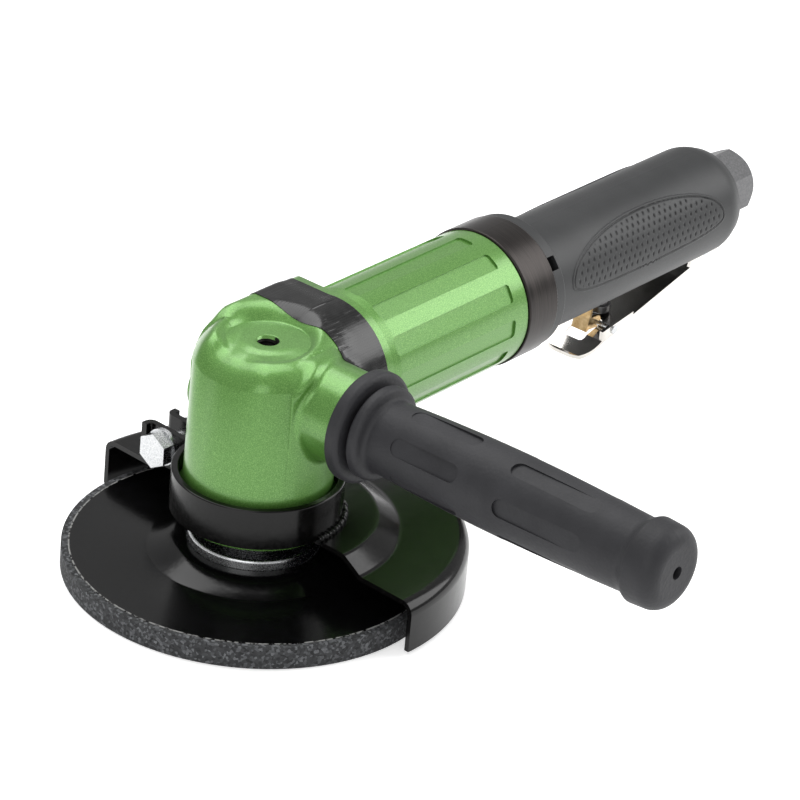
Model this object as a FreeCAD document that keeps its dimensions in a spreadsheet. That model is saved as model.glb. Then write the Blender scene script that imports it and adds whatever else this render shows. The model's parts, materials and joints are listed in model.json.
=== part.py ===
# Pneumatic angle grinder with a depressed-centre grinding wheel, built as a parametric document.
# Frame: +Z is the spindle axis, pointing from the wheel up to the gear head; the origin is the centre of the
# wheel's working face; +X runs back along the motor axis to the air inlet; the side handle points to -Y.
# Millimetres.
import FreeCAD, Part
import Sketcher
import math
import os
import re
from FreeCAD import Vector

doc = FreeCAD.newDocument("AngleGrinder")
sheet = doc.addObject("Spreadsheet::Sheet", "Sizes")

SIZES = [
    # edges and cuts
    ("edge_break", 0.5, "small machined edges, rounding"),
    ("edge_round", 1, "turned and moulded edges, rounding"),
    ("edge_soft", 1.5, "soft moulded and bent edges, rounding"),
    ("cut_past", 1, "how far a cut or a joined pad runs past the face that it meets"),
    ("round_share", 0.96, "rounded ends, radius as a part of the half width"),
    # wheel and its clamping
    ("wheel_dia", 115, "grinding wheel, outside diameter"),
    ("wheel_thick", 7, "grinding wheel, thickness"),
    ("wheel_bore", 22.23, "grinding wheel, bore diameter"),
    ("hub_rise", 4.6, "how far the wheel's centre is raised"),
    ("hub_top_rad", 24, "flat top of the raised centre, radius"),
    ("hub_base_rad", 31.5, "foot of the raised centre, radius"),
    ("hub_thick", 6, "raised centre, thickness"),
    ("hub_slope", 2.5, "how far the hub's underside steps in from its top"),
    ("hub_soften", 2, "rounding of the hub's step"),
    ("pilot_gap", 0.8, "inner flange's pilot stops this far above the hub's underside"),
    ("flange_rad", 20, "inner flange, radius"),
    ("flange_thick", 3.5, "inner flange, thickness"),
    ("nut_rad", 19, "flange nut, radius"),
    ("nut_thick", 3.2, "flange nut, thickness"),
    ("nut_hole_pitch", 15, "pin-spanner holes of the flange nut, distance from the axis"),
    ("nut_hole_rad", 2.5, "pin-spanner hole, radius"),
    ("nut_holes", 4, "pin-spanner holes"),
    ("spindle_thread_rad", 7, "M14 spindle thread, radius"),
    ("spindle_end_gap", 1.2, "spindle end, above the working face"),
    # spindle and its bearings
    ("shoulder_rad", 8.5, "spindle shoulder, radius"),
    ("journal_rad", 6, "spindle journal in the lower bearing, radius"),
    ("lower_bearing_rad", 16, "lower spindle bearing, outside radius"),
    ("lower_bearing_wide", 10, "lower spindle bearing, width"),
    ("tail_rad", 4.5, "spindle tail in the needle bearing, radius"),
    ("needle_rad", 7, "needle bearing, outside radius"),
    ("needle_long", 8, "needle bearing, length"),
    ("needle_base_z", 60, "needle bearing, lower end"),
    ("shield_sink", 0.5, "bearing shields, depth below the ring faces"),
    ("race_share", 0.22, "bearing rings, thickness as a part of the space between bore and outside"),
    ("spacer_wall", 2, "spacer between bearing and gear, wall"),
    ("seal_gap", 0.4, "gap between spindle shoulder and bearing cap"),
    ("cap_rim", 0.6, "bearing cap, rim above the bearing"),
    ("gear_back", 3.4, "bevel gear's back face, below its pitch point"),
    ("gear_top_z", 50.4, "end of the spindle's gear seat"),
    ("run_gap", 0.03, "radial clearance of a running fit"),
    ("slip_gap", 0.05, "radial clearance of a sliding fit"),
    # bevel gears
    ("motor_z", 59.2, "height of the motor axis"),
    ("gear_teeth", 27, "teeth of the spindle's bevel gear"),
    ("pinion_teeth", 15, "teeth of the pinion"),
    ("gear_pitch_rad", 16.5, "bevel gear, pitch radius at the heel"),
    ("tooth_face", 6, "face width of the teeth, along the cone"),
    ("backlash", 0.12, "play between meshing flanks at the heel"),
    ("pressure_angle", 20, "pressure angle of the teeth, degrees"),
    ("root_depth", 1.25, "depth of the teeth below the pitch cone, in modules"),
    ("tooth_foot", 0.3, "how deep each tooth is rooted in its blank"),
    ("web_drop", 1.6, "step from the toe of the gear's teeth down to its web"),
    ("pinion_end_gap", 1, "pinion shaft end to the front end plate"),
    ("gear_hub_rad", 9.5, "bevel gear hub, radius"),
    ("gear_hub_long", 5, "bevel gear hub, below the teeth"),
    ("pinion_hub_rad", 6.4, "pinion hub behind the teeth, radius"),
    ("pinion_shaft_rad", 5, "pinion shaft, radius"),
    ("pinion_bearing_rad", 13, "pinion bearing, outside radius"),
    ("pinion_bearing_wide", 8, "pinion bearing, width"),
    ("pinion_bore_x", 12.5, "bore for pinion and bearing, front end"),
    ("pinion_bearing_x", 20.5, "pinion bearing, front face"),
    # gear housing
    ("head_rad", 22.5, "gear head, outside radius"),
    ("head_top_z", 77.3, "gear head, flat top"),
    ("head_round", 6, "rounding of the head's top edge"),
    ("head_wall", 4.5, "gear head, wall"),
    ("seat_rad", 23.8, "guard seat at the head's foot, radius"),
    ("seat_base_z", 19.6, "foot of the gear head"),
    ("seat_top_z", 29, "top of the guard seat"),
    ("cap_rad", 19.4, "bearing cap, radius"),
    ("cap_lip", 3, "bearing cap, lip below the bearing"),
    ("cavity_top_z", 68.5, "roof of the gear chamber"),
    ("neck_rad", 21.7, "neck of the gear head, radius"),
    ("joint_x", 34, "joint between gear head and motor housing"),
    ("handle_x", 5.7, "handle boss axis, behind the spindle"),
    ("handle_z", 61, "handle boss axis, height"),
    ("boss_rad", 14.5, "handle boss, radius"),
    ("boss_face_y", 33, "handle boss face, distance from the spindle"),
    ("far_boss_rad", 9.5, "plain side's boss, radius"),
    ("far_boss_face_y", 23.5, "plain side's boss face, distance from the spindle"),
    ("far_boss_x", 2, "plain side's boss axis, behind the spindle"),
    ("far_hole_deep", 5, "plain side's M8 hole, depth"),
    ("post_wall", 2, "wall round the needle bearing"),
    ("chamber_front", 7, "block over the gear chamber, front end before the spindle"),
    ("chamber_round", 14, "block over the gear chamber, rounding of its front"),
    ("cast_round", 2.5, "creases of the casting, rounding"),
    ("block_round", 3, "block over the gear chamber, rounding of its outer edges"),
    ("recess_rad", 12.5, "spot-faced recess round the top hole, radius"),
    ("recess_slope", 2.2, "spot-faced recess, how far its wall leans out"),
    ("recess_round", 1.5, "spot-faced recess, rounding at the foot of its wall"),
    ("recess_high", 6, "spot-faced recess, height that its cut clears"),
    ("flute_round", 1.2, "flutes of the motor housing, corner rounding"),
    ("far_boss_z", 54, "plain side's boss axis, height"),
    ("thread_hole_rad", 3.4, "M8 threaded holes, wall radius"),
    ("thread_hole_deep", 12, "M8 threaded holes, depth"),
    ("top_hole_deep", 7.5, "top M8 hole, depth"),
    ("shoulder_top_z", 80.6, "block over the gear chamber, top"),
    ("shoulder_y", 20.5, "block over the gear chamber, outer side"),
    # motor housing
    ("barrel_rad", 22.0, "motor housing, outside radius"),
    ("barrel_end_x", 98, "motor housing, rear end of the painted part"),
    ("barrel_shoulder", 3, "length of the motor housing's front slope"),
    ("barrel_round", 2, "rounding behind that slope"),
    ("liner_rad", 19.2, "motor liner, outside radius"),
    ("spigot_rad", 20.6, "spigot behind the motor housing, radius"),
    ("spigot_long", 10, "spigot, length"),
    ("panel_start_x", 36.5, "flutes of the motor housing, front end"),
    ("panel_end_x", 91.5, "flutes, rear end"),
    ("flute_wide", 6, "flutes, width"),
    ("flute_deep", 0.7, "flutes, depth"),
    ("flute_step", 30, "angle from flute to flute"),
    # air motor
    ("plate_front_x", 34, "front end plate, front face"),
    ("plate_thick", 7, "end plates, thickness"),
    ("liner_bore_rad", 15.5, "liner bore, radius"),
    ("liner_offset", 1.6, "liner bore, offset below the motor axis"),
    ("rotor_rad", 13.7, "rotor, radius"),
    ("rotor_journal_rad", 4, "rotor journals, radius"),
    ("rotor_bearing_rad", 9.5, "rotor bearings, outside radius"),
    ("rotor_bearing_wide", 6, "rotor bearings, width"),
    ("core_gap", 0.5, "how far the throttle body's flange reaches into the motor housing's painted part"),
    ("rotor_end_gap", 0.1, "gap at each end of the rotor"),
    ("vane_count", 5, "vanes"),
    ("vane_thick", 1.8, "vane, thickness"),
    ("vane_deep", 7.5, "vane, depth in the rotor"),
    ("vane_gap", 0.05, "vane clearance in its slot"),
    # rear collars
    ("collar_rad", 22.6, "rear collar, radius"),
    ("collar_long", 14, "rear collar, length"),
    ("notch_ring_rad", 22.0, "notched exhaust ring, radius"),
    ("notch_ring_long", 4.5, "notched exhaust ring, length"),
    ("notch_wide", 4.6, "notch, width"),
    ("collar_bore_rad", 17, "rear collar and exhaust ring, bore radius"),
    ("notch_web", 1, "solid rim behind the notches"),
    ("notch_floor", 2, "wall left under the notches"),
    ("notch_count", 4, "notches"),
    ("notch_turn", 52.4, "first notch, angle from the top towards the handle side"),
    # grip and inlet
    ("grip_drop", 1.2, "grip's centre below the motor axis"),
    ("grip_front_rad", 18.6, "grip, radius at its front"),
    ("grip_rear_rad", 18.3, "grip, radius before its rear rounding"),
    ("grip_end_rad", 16.4, "grip, radius at its rear face"),
    ("grip_long", 101, "grip, length"),
    ("grip_round_long", 5, "rear rounding, length"),
    ("grip_bend_rad", 12, "curve into the rear rounding, radius"),
    ("grip_flat_z", 45.2, "flat underside of the grip"),
    ("flat_lead", 7.5, "flat underside, front end behind the grip's front"),
    ("flat_run", 8, "run-out in front of the flat underside"),
    ("lug_lead", 8.5, "flat underside, rear end, and front of the lever lug, before the pivot"),
    ("grip_heel_z", 47.4, "underside of the grip at its rear face"),
    ("core_rad", 13, "throttle body, radius"),
    ("core_tail_rad", 10.2, "throttle body's tail, radius"),
    ("core_tail_lead", 13.5, "throttle body's tail, front end before the pivot"),
    ("core_flange_long", 9, "throttle body flange, length"),
    ("air_passage_rad", 4, "air passage, radius"),
    ("seal_thick", 1, "inlet seal, thickness"),
    ("seal_rad", 13.5, "inlet seal, radius"),
    ("inlet_flats", 20, "inlet bushing, across flats"),
    ("inlet_long", 15.5, "inlet bushing, length outside the grip"),
    ("inlet_bevel", 2.5, "inlet bushing, length of the bevel on its corners"),
    ("inlet_thread_rad", 8, "inlet bushing, thread into the throttle body, radius"),
    ("inlet_thread_long", 10, "inlet bushing, thread length"),
    ("hose_thread_rad", 5.8, "quarter inch air thread, wall radius"),
    ("hose_thread_deep", 14, "air thread, depth"),
    # throttle lever
    ("pivot_lead", 8, "lever pivot, before the grip's rear face"),
    ("pivot_z", 44.2, "lever pivot, height"),
    ("pivot_pin_rad", 1.2, "lever pivot pin, radius"),
    ("lever_wide", 20, "lever, width"),
    ("lever_gauge", 1.2, "lever, sheet thickness"),
    ("lip_long", 8, "lever lip, length before the tab"),
    ("lip_flat", 1.5, "lever lip, flat at its very front"),
    ("lip_bend", 4, "bend between lip and tab, radius"),
    ("heel_bend", 12, "bend towards the heel, radius"),
    ("lever_tip_z", 22.5, "lever lip, underside"),
    ("tab_lead", 5.8, "lever, front of its tab before the catch pin"),
    ("lever_front_z", 27, "lever underside at the tab's front"),
    ("bend_lead", 6.5, "lever, where it turns up to its heel, before the pivot"),
    ("lever_bend_z", 38.6, "lever underside at that turn"),
    ("lever_heel_z", 43.2, "lever underside at its heel"),
    ("lever_ear_lead", 6.8, "lever ears, front edge before the pivot"),
    ("ear_front_z", 44.4, "lever ears, top at the front"),
    ("ear_rear_z", 47.4, "lever ears, top at the heel"),
    ("tab_front_top", 3.2, "catch tab, height above the lever's floor at its front"),
    ("tab_rear_top", 1.6, "catch tab, height above the lever's floor at its rear"),
    ("side_top", 0.5, "turned-up sides between tab and ear, height above the lever's floor"),
    ("window_lead", 8.2, "window in the lever's floor, front edge before the catch pin"),
    ("window_long", 11.2, "window in the lever's floor, length"),
    ("window_wide", 7.6, "window in the lever's floor, width"),
    ("lug_drop", 2.6, "lever lug, below the pivot"),
    ("lug_foot", 3.5, "lever lug, half length of its foot"),
    ("lug_gap", 0.6, "clearance round the lever lug"),
    ("lug_window_lead", 4.5, "opening of the lever's floor under the lug, front edge before the pivot"),
    ("tab_long", 16, "catch tab, length"),
    ("lever_corner", 8, "rounded corners of the lever's lip"),
    ("lever_tail", 9.5, "lever, rear end behind the pivot"),
    ("lug_wide", 14, "lever lug under the grip, width"),
    ("valve_lead", 42.5, "throttle valve axis, before the lever pivot"),
    ("plunger_rad", 2.5, "valve plunger, radius"),
    ("plunger_head_rad", 3.4, "valve plunger button, radius"),
    ("plunger_head_long", 3, "valve plunger button, height"),
    ("lever_lift", 0.15, "plunger button above the lever's inside, at rest"),
    ("guide_rad", 5, "plunger guide bushing, radius"),
    ("catch_lead", 5.2, "safety catch pin, before the valve axis"),
    ("catch_pin_z", 30.6, "safety catch pin, height"),
    ("catch_pin_rad", 0.9, "safety catch pin, radius"),
    ("guide_long", 8, "plunger guide bushing, length"),
    ("guide_rim", 1, "plunger guide bushing, standing out of the flat"),
    ("poppet_rad", 4.2, "valve poppet, radius"),
    ("poppet_thick", 2.4, "valve poppet, thickness"),
    ("valve_spring_top", 66.5, "upper end of the valve spring"),
    ("spring_wire_rad", 0.45, "valve spring, wire radius"),
    ("spring_coil_rad", 3, "valve spring, coil radius"),
    ("spring_turns", 5, "valve spring, turns"),
    ("catch_top_lead", 2.2, "safety catch, upper end before its pin"),
    ("catch_top_z", 43.4, "safety catch, upper end, height"),
    ("catch_knee_lead", 4.2, "safety catch, knee before its pin"),
    ("catch_knee_z", 33, "safety catch, knee, height"),
    ("catch_toe_lead", 5.4, "safety catch, toe before its pin"),
    ("catch_toe_z", 28.6, "safety catch, toe, height"),
    ("catch_ear_rad", 2.1, "safety catch, radius of its ears round the pin"),
    ("catch_wide", 6, "safety catch, width"),
    ("catch_gauge", 1, "safety catch, strip thickness"),
    ("catch_wire_rad", 0.25, "catch spring, wire radius"),
    ("catch_turns", 4, "catch spring, turns"),
    ("pin_head", 0.6, "heads of the lever and catch pins, height"),
    ("pin_head_share", 1.6, "heads of those pins, radius as a multiple of the pin's"),
    # guard
    ("collar_band_rad", 26.1, "guard collar, outside radius"),
    ("collar_band_top_z", 34.4, "guard collar, top"),
    ("plate_upper_z", 21.6, "guard plate, top of its raised middle"),
    ("plate_lower_z", 17.2, "guard plate, top of its outer part"),
    ("guard_gauge", 1.6, "guard sheet, thickness"),
    ("guard_rad", 64.8, "guard skirt, outside radius"),
    ("guard_round", 4, "rounding between plate and skirt"),
    ("guard_bend", 3, "bends of the guard plate's slope, radius"),
    ("cone_top_rad", 36.5, "slope of the guard plate, upper edge radius"),
    ("cone_foot_rad", 44, "slope of the guard plate, lower edge radius"),
    ("skirt_foot_z", 1.2, "foot of the guard skirt"),
    ("guard_sweep", 180, "guard shell, swept angle"),
    ("guard_turn", -3, "rest angle of the guard"),
    ("ear_gap", 6, "gap between the clamp ears"),
    ("ear_gauge", 2, "clamp ears, thickness"),
    ("clamp_ear_long", 16.7, "clamp ears, length beyond the collar"),
    ("ear_turned", 2, "clamp ears, length of their turned ends"),
    ("collar_turn_gap", 0.08, "guard collar on its seat, radial clearance"),
    ("shell_gap", 0.4, "guard plate round the seat, radial clearance"),
    ("clamp_bolt_end", 14, "clamp bolt, end of its thread, from the middle of the gap"),
    ("clamp_bolt_rad", 3, "M6 clamp bolt, radius"),
    ("clamp_bolt_inset", 8.3, "clamp bolt axis, in from the ears' outer end"),
    ("clamp_bolt_z", 29, "clamp bolt axis, height"),
    ("clamp_hex", 10, "M6 hexagon, across flats"),
    ("clamp_head_thick", 4, "M6 bolt head, height"),
    ("clamp_nut_thick", 5, "M6 nut, height"),
    ("washer_rad", 5.8, "M6 washer, radius"),
    ("washer_thick", 1.5, "M6 washers, thickness"),
    # side handle
    ("grip_flange_rad", 17.3, "handle flange, radius"),
    ("grip_flange_thick", 4.6, "handle flange, thickness"),
    ("grip_step_rad", 14.5, "handle's second ring, radius"),
    ("grip_step_gap", 1.2, "groove between flange and second ring"),
    ("grip_step_thick", 3.4, "handle's second ring, thickness"),
    ("handle_neck_rad", 11.1, "handle at the flange, radius"),
    ("handle_mid_rad", 13.4, "handle at its thickest, radius"),
    ("handle_tail_rad", 11.4, "handle before the end knob, radius"),
    ("handle_knob_rad", 13.1, "handle end knob, radius"),
    ("handle_belly", 780, "handle's belly, radius of its curve"),
    ("handle_root_round", 4, "curve from the handle into its knob, radius"),
    ("knob_lip", 2, "end knob, length of its inner slope"),
    ("knob_taper", 0.6, "end knob, how much narrower its outer end is"),
    ("handle_mid_y", 84, "thickest place, distance from the spindle"),
    ("handle_knob_y", 136, "end knob, inner edge"),
    ("handle_end_y", 148, "handle end"),
    ("stud_rad", 4, "M8 handle stud, radius"),
    ("stud_core_long", 30, "handle stud, length inside the handle"),
    ("handle_hole_rad", 2, "hole in the handle's end, radius"),
    ("stud_in_deep", 11, "handle stud, length in the boss"),
    ("handle_hole_deep", 8, "hole in the handle's end, depth"),
    ("handle_dome", 5, "rounding of the handle's end"),
    ("handle_flute_count", 6, "flutes round the handle, in each set"),
    ("handle_flute_a_y", 52.5, "flutes near the flange, inner end"),
    ("handle_flute_a_long", 25, "flutes near the flange, length"),
    ("handle_flute_a_turn", -5, "flutes near the flange, angle from the top"),
    ("handle_flute_b_y", 91.5, "flutes near the knob, inner end"),
    ("handle_flute_b_long", 31, "flutes near the knob, length"),
    ("handle_flute_b_turn", -20, "flutes near the knob, angle from the top"),
    ("handle_flute_wide", 5.5, "handle flutes, width"),
    ("handle_flute_deep", 2, "handle flutes, depth of the cut"),
    ("handle_flute_a_floor", 11.3, "flutes near the flange, floor's distance from the handle axis"),
    ("handle_flute_b_floor", 11.7, "flutes near the knob, floor's distance from the handle axis"),
]

# places worked out from the sizes; a later one may use an earlier one
PLACES = [
    ("hub_top", "hub_rise + hub_thick"),
    ("flange_top", "hub_top + flange_thick"),
    ("bearing_base", "seat_base_z + cap_lip"),
    ("bearing_top", "bearing_base + lower_bearing_wide"),
    ("gear_back_z", "motor_z - gear_pitch_rad * pinion_teeth / gear_teeth - gear_back"),
    ("plate_end", "plate_front_x + plate_thick"),
    ("rear_plate", "barrel_end_x - core_gap - plate_thick"),
    ("rear_plate_end", "rear_plate + plate_thick"),
    ("collar_end", "barrel_end_x + collar_long"),
    ("grip_start", "collar_end + notch_ring_long"),
    ("grip_end", "grip_start + grip_long"),
    ("inlet_start", "grip_end + seal_thick"),
    ("inlet_end", "inlet_start + inlet_long"),
    ("inlet_corner", "inlet_flats / 2 / cos(30)"),
    ("grip_flat_start", "grip_start + flat_lead"),
    ("pivot_x", "grip_end - pivot_lead"),
    ("lug_start", "pivot_x - lug_lead"),
    ("core_tail_start", "pivot_x - core_tail_lead"),
    ("valve_x", "pivot_x - valve_lead"),
    ("catch_pin_x", "valve_x - catch_lead"),
    ("catch_top_x", "catch_pin_x - catch_top_lead"),
    ("catch_knee_x", "catch_pin_x - catch_knee_lead"),
    ("catch_toe_x", "catch_pin_x - catch_toe_lead"),
    ("lever_front_x", "catch_pin_x - tab_lead"),
    ("lever_tip_x", "lever_front_x - lip_long"),
    ("lever_bend_x", "pivot_x - bend_lead"),
    ("lever_heel_x", "pivot_x + lever_tail"),
    ("lever_ear_x", "pivot_x - lever_ear_lead"),
    ("window_front", "catch_pin_x - window_lead"),
    ("window_rear", "window_front + window_long"),
    ("lug_window_x", "pivot_x - lug_window_lead"),
    ("lever_slope", "(lever_bend_z - lever_front_z) / (lever_bend_x - lever_front_x)"),
    ("lever_at_valve",
     "lever_front_z + (valve_x + plunger_head_rad - lever_front_x) * lever_slope + lever_gauge + lever_lift"),
    ("guide_base", "grip_flat_z - guide_rim"),
    ("guide_top", "guide_base + guide_long"),
    ("clamp_ear_end", "collar_band_rad + clamp_ear_long"),
    ("clamp_bolt_y", "clamp_ear_end - clamp_bolt_inset"),
    ("ear_face", "ear_gap / 2 + ear_gauge"),
    ("washer_face", "ear_face + washer_thick"),
    ("step_start", "boss_face_y + grip_flange_thick + grip_step_gap"),
    ("step_end", "step_start + grip_step_thick"),
]

for row, (alias, amount, note) in enumerate(SIZES, start=1):
    sheet.set(f"A{row}", alias)
    sheet.set(f"B{row}", str(amount))
    sheet.set(f"C{row}", note)
    sheet.setAlias(f"B{row}", alias)
doc.recompute()

PLANE = {"XY": "XY_Plane", "XZ": "XZ_Plane", "YZ": "YZ_Plane"}
FINE = 0.001
parts = {}


def wordPattern(words):
    return re.compile(r"\b(" + "|".join(words) + r")\b")


SIZE_WORD = wordPattern(alias for alias, amount, note in SIZES)
PLACE_WORD = wordPattern(name for name, text in PLACES)
places = {}
for name, text in PLACES:
    places[name] = "(" + PLACE_WORD.sub(lambda found: places[found.group()], text) + ")"


def bound(text):
    """The expression with each place worked out and each size name pointing at its cell."""
    return SIZE_WORD.sub(r"Sizes.\1", PLACE_WORD.sub(lambda found: places[found.group()], str(text)))


def size(text):
    """The value of an expression of size names."""
    return float(sheet.evalExpression(bound(text)))


def tie(item, prop, text):
    item.setExpression(prop, bound(text))


def newBody(label, at=("0", "0", "0")):
    body = doc.addObject("PartDesign::Body", label)
    body.Label = label
    for axis, text in zip("xyz", at):
        if text != "0":
            tie(body, f"Placement.Base.{axis}", text)
    parts[label] = body
    return body


def originPlane(body, plane):
    return next(f for f in body.Origin.OriginFeatures if f.Role == PLANE[plane])


def newSketch(body, plane, offset="0"):
    sketch = body.newObject("Sketcher::SketchObject", f"{body.Name}_sketch")
    sketch.AttachmentSupport = (originPlane(body, plane), [""])
    sketch.MapMode = "FlatFace"
    if offset != "0":
        tie(sketch, "AttachmentOffset.Base.z", offset)
    return sketch


def fix(sketch, geo, point, x, y):
    """Holds one point of the sketch at (x, y), both expressions."""
    for kind, text in (("DistanceX", x), ("DistanceY", y)):
        index = sketch.addConstraint(Sketcher.Constraint(kind, -1, 1, geo, point, size(text)))
        sketch.setExpression(f"Constraints[{index}]", bound(text))


def outline(body, plane, corners, offset="0"):
    """A closed outline through corners (x, y) or rounded corners (x, y, radius), all expressions."""
    sketch = newSketch(body, plane, offset)
    spots = [Vector(size(c[0]), size(c[1]), 0) for c in corners]
    total = len(corners)
    cuts = []
    for i, corner in enumerate(corners):
        here, back, ahead = spots[i], spots[i - 1], spots[(i + 1) % total]
        if len(corner) == 2:
            cuts.append((here, here, None))
            continue
        toBack = (back - here).normalize()
        toAhead = (ahead - here).normalize()
        half = toBack.getAngle(toAhead) / 2
        reach = size(corner[2]) / math.tan(half)
        centre = here + (toBack + toAhead).normalize() * (size(corner[2]) / math.sin(half))
        cuts.append((here + toBack * reach, here + toAhead * reach, centre))
    lines = [sketch.addGeometry(Part.LineSegment(cuts[i][1], cuts[(i + 1) % total][0])) for i in range(total)]
    for i, corner in enumerate(corners):
        before, after = lines[i - 1], lines[i]
        if len(corner) == 2:
            sketch.addConstraint(Sketcher.Constraint("Coincident", before, 2, after, 1))
            fix(sketch, after, 1, corner[0], corner[1])
            continue
        start, end, centre = cuts[i]
        a0 = math.atan2(start.y - centre.y, start.x - centre.x)
        a1 = math.atan2(end.y - centre.y, end.x - centre.x)
        turn = (spots[i] - spots[i - 1]).cross(spots[(i + 1) % total] - spots[i]).z
        circle = Part.Circle(centre, Vector(0, 0, 1), size(corner[2]))
        if turn > 0:
            arc, first, last = sketch.addGeometry(Part.ArcOfCircle(circle, a0, a1)), 1, 2
        else:
            arc, first, last = sketch.addGeometry(Part.ArcOfCircle(circle, a1, a0)), 2, 1
        sketch.addConstraint(Sketcher.Constraint("Tangent", before, 2, arc, first))
        sketch.addConstraint(Sketcher.Constraint("Tangent", after, 1, arc, last))
        index = sketch.addConstraint(Sketcher.Constraint("Radius", arc, size(corner[2])))
        sketch.setExpression(f"Constraints[{index}]", bound(corner[2]))
        knot = sketch.addGeometry(Part.Point(spots[i]), True)
        fix(sketch, knot, 1, corner[0], corner[1])
        sketch.addConstraint(Sketcher.Constraint("PointOnObject", knot, 1, before))
        sketch.addConstraint(Sketcher.Constraint("PointOnObject", knot, 1, after))
    return sketch


def circles(body, plane, rings, offset="0"):
    """Circles (x, y, radius), all expressions."""
    sketch = newSketch(body, plane, offset)
    for x, y, radius in rings:
        ring = sketch.addGeometry(Part.Circle(Vector(size(x), size(y), 0), Vector(0, 0, 1), size(radius)))
        index = sketch.addConstraint(Sketcher.Constraint("Radius", ring, size(radius)))
        sketch.setExpression(f"Constraints[{index}]", bound(radius))
        if x == "0" and y == "0":
            sketch.addConstraint(Sketcher.Constraint("Coincident", ring, 3, -1, 1))
        else:
            fix(sketch, ring, 3, x, y)
    return sketch


def revolve(body, sketch, axis):
    """A full turn about the sketch's H_Axis or V_Axis."""
    feature = body.newObject("PartDesign::Revolution", f"{body.Name}_turned")
    feature.Profile = sketch
    feature.ReferenceAxis = (sketch, [axis])
    feature.Angle = 360
    sketch.Visibility = False
    doc.recompute()
    return feature


def groove(body, sketch, axis):
    feature = body.newObject("PartDesign::Groove", f"{body.Name}_groove")
    feature.Profile = sketch
    feature.ReferenceAxis = (sketch, [axis])
    feature.Angle = 360
    doc.recompute()
    return feature


def extrude(body, kind, sketch, length, back=False, middle=False):
    feature = body.newObject(f"PartDesign::{kind}", f"{body.Name}_{kind.lower()}")
    feature.Profile = sketch
    tie(feature, "Length", length)
    feature.Reversed = back
    if middle:
        feature.SideType = "Symmetric"
    doc.recompute()
    return feature


def pad(body, sketch, length, back=False, middle=False):
    return extrude(body, "Pad", sketch, length, back, middle)


def pocket(body, sketch, length, back=False, middle=False):
    return extrude(body, "Pocket", sketch, length, back, middle)


def ring(body, axis, feature, count, angle=360):
    """Copies the last feature round one of the body's own axes."""
    pattern = body.newObject("PartDesign::PolarPattern", f"{body.Name}_ring")
    pattern.Originals = [feature]
    line = next(f for f in body.Origin.OriginFeatures if f.Role == axis)
    pattern.Axis = (line, [""])
    pattern.Angle = angle
    tie(pattern, "Occurrences", count)
    body.Tip = pattern
    doc.recompute()
    return pattern


def soften(body, radius, chosen):
    """Rounds the edges of the body's last feature that the test picks."""
    base = body.Tip
    names = [f"Edge{i}" for i, edge in enumerate(base.Shape.Edges, start=1) if chosen(edge)]
    feature = body.newObject("PartDesign::Fillet", f"{body.Name}_round")
    feature.Base = (base, names)
    tie(feature, "Radius", radius)
    doc.recompute()
    return feature


def tube(label, at, plane, axis, profile):
    """A body turned from one closed outline."""
    body = newBody(label, at)
    revolve(body, outline(body, plane, profile), axis)
    return body


AT_MOTOR = ("0", "0", "motor_z")


# ---- grinding wheel, its flange and nut, and the spindle
AT_ORIGIN = ("0", "0", "0")

tube("grinding_wheel", AT_ORIGIN, "XZ", "V_Axis", [
    ("wheel_bore / 2", "hub_rise"),
    ("hub_top_rad - hub_slope", "hub_rise", "hub_soften"),
    ("hub_base_rad - hub_slope", "0", "hub_soften"),
    ("wheel_dia / 2", "0"),
    ("wheel_dia / 2", "wheel_thick"),
    ("hub_base_rad", "wheel_thick", "hub_soften"),
    ("hub_top_rad", "hub_top", "hub_soften"),
    ("wheel_bore / 2", "hub_top"),
])

tube("inner_flange", AT_ORIGIN, "XZ", "V_Axis", [
    ("spindle_thread_rad", "hub_rise + pilot_gap"),
    ("wheel_bore / 2 - slip_gap", "hub_rise + pilot_gap"),
    ("wheel_bore / 2 - slip_gap", "hub_top"),
    ("flange_rad", "hub_top"),
    ("flange_rad", "flange_top", "edge_round"),
    ("spindle_thread_rad", "flange_top"),
])

nut = tube("flange_nut", AT_ORIGIN, "XZ", "V_Axis", [
    ("spindle_thread_rad", "hub_rise - nut_thick"),
    ("nut_rad", "hub_rise - nut_thick", "edge_round"),
    ("nut_rad", "hub_rise"),
    ("spindle_thread_rad", "hub_rise"),
])
pinHole = pocket(nut, circles(nut, "XY", [("nut_hole_pitch", "0", "nut_hole_rad")]), "hub_rise", back=True)
ring(nut, "Z_Axis", pinHole, "nut_holes")

tube("spindle", AT_ORIGIN, "XZ", "V_Axis", [
    ("0", "spindle_end_gap"),
    ("spindle_thread_rad", "spindle_end_gap", "edge_break"),
    ("spindle_thread_rad", "flange_top"),
    ("shoulder_rad", "flange_top"),
    ("shoulder_rad", "bearing_base"),
    ("journal_rad", "bearing_base"),
    ("journal_rad", "gear_top_z"),
    ("tail_rad", "gear_top_z"),
    ("tail_rad", "needle_base_z + needle_long", "edge_break"),
    ("0", "needle_base_z + needle_long"),
])


def bearing(label, at, plane, axis, inner, outer, low, high):
    """A ball bearing: two rings with a sunken shield between them on both sides."""
    race = f"({outer} - {inner}) * race_share"
    return tube(label, at, plane, axis, [
        corner if axis == "V_Axis" else (corner[1], corner[0]) for corner in [
            (inner, low),
            (f"{inner} + {race}", low),
            (f"{inner} + {race}", f"{low} + shield_sink"),
            (f"{outer} - {race}", f"{low} + shield_sink"),
            (f"{outer} - {race}", low),
            (outer, low),
            (outer, high),
            (f"{outer} - {race}", high),
            (f"{outer} - {race}", f"{high} - shield_sink"),
            (f"{inner} + {race}", f"{high} - shield_sink"),
            (f"{inner} + {race}", high),
            (inner, high),
        ]])


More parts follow.
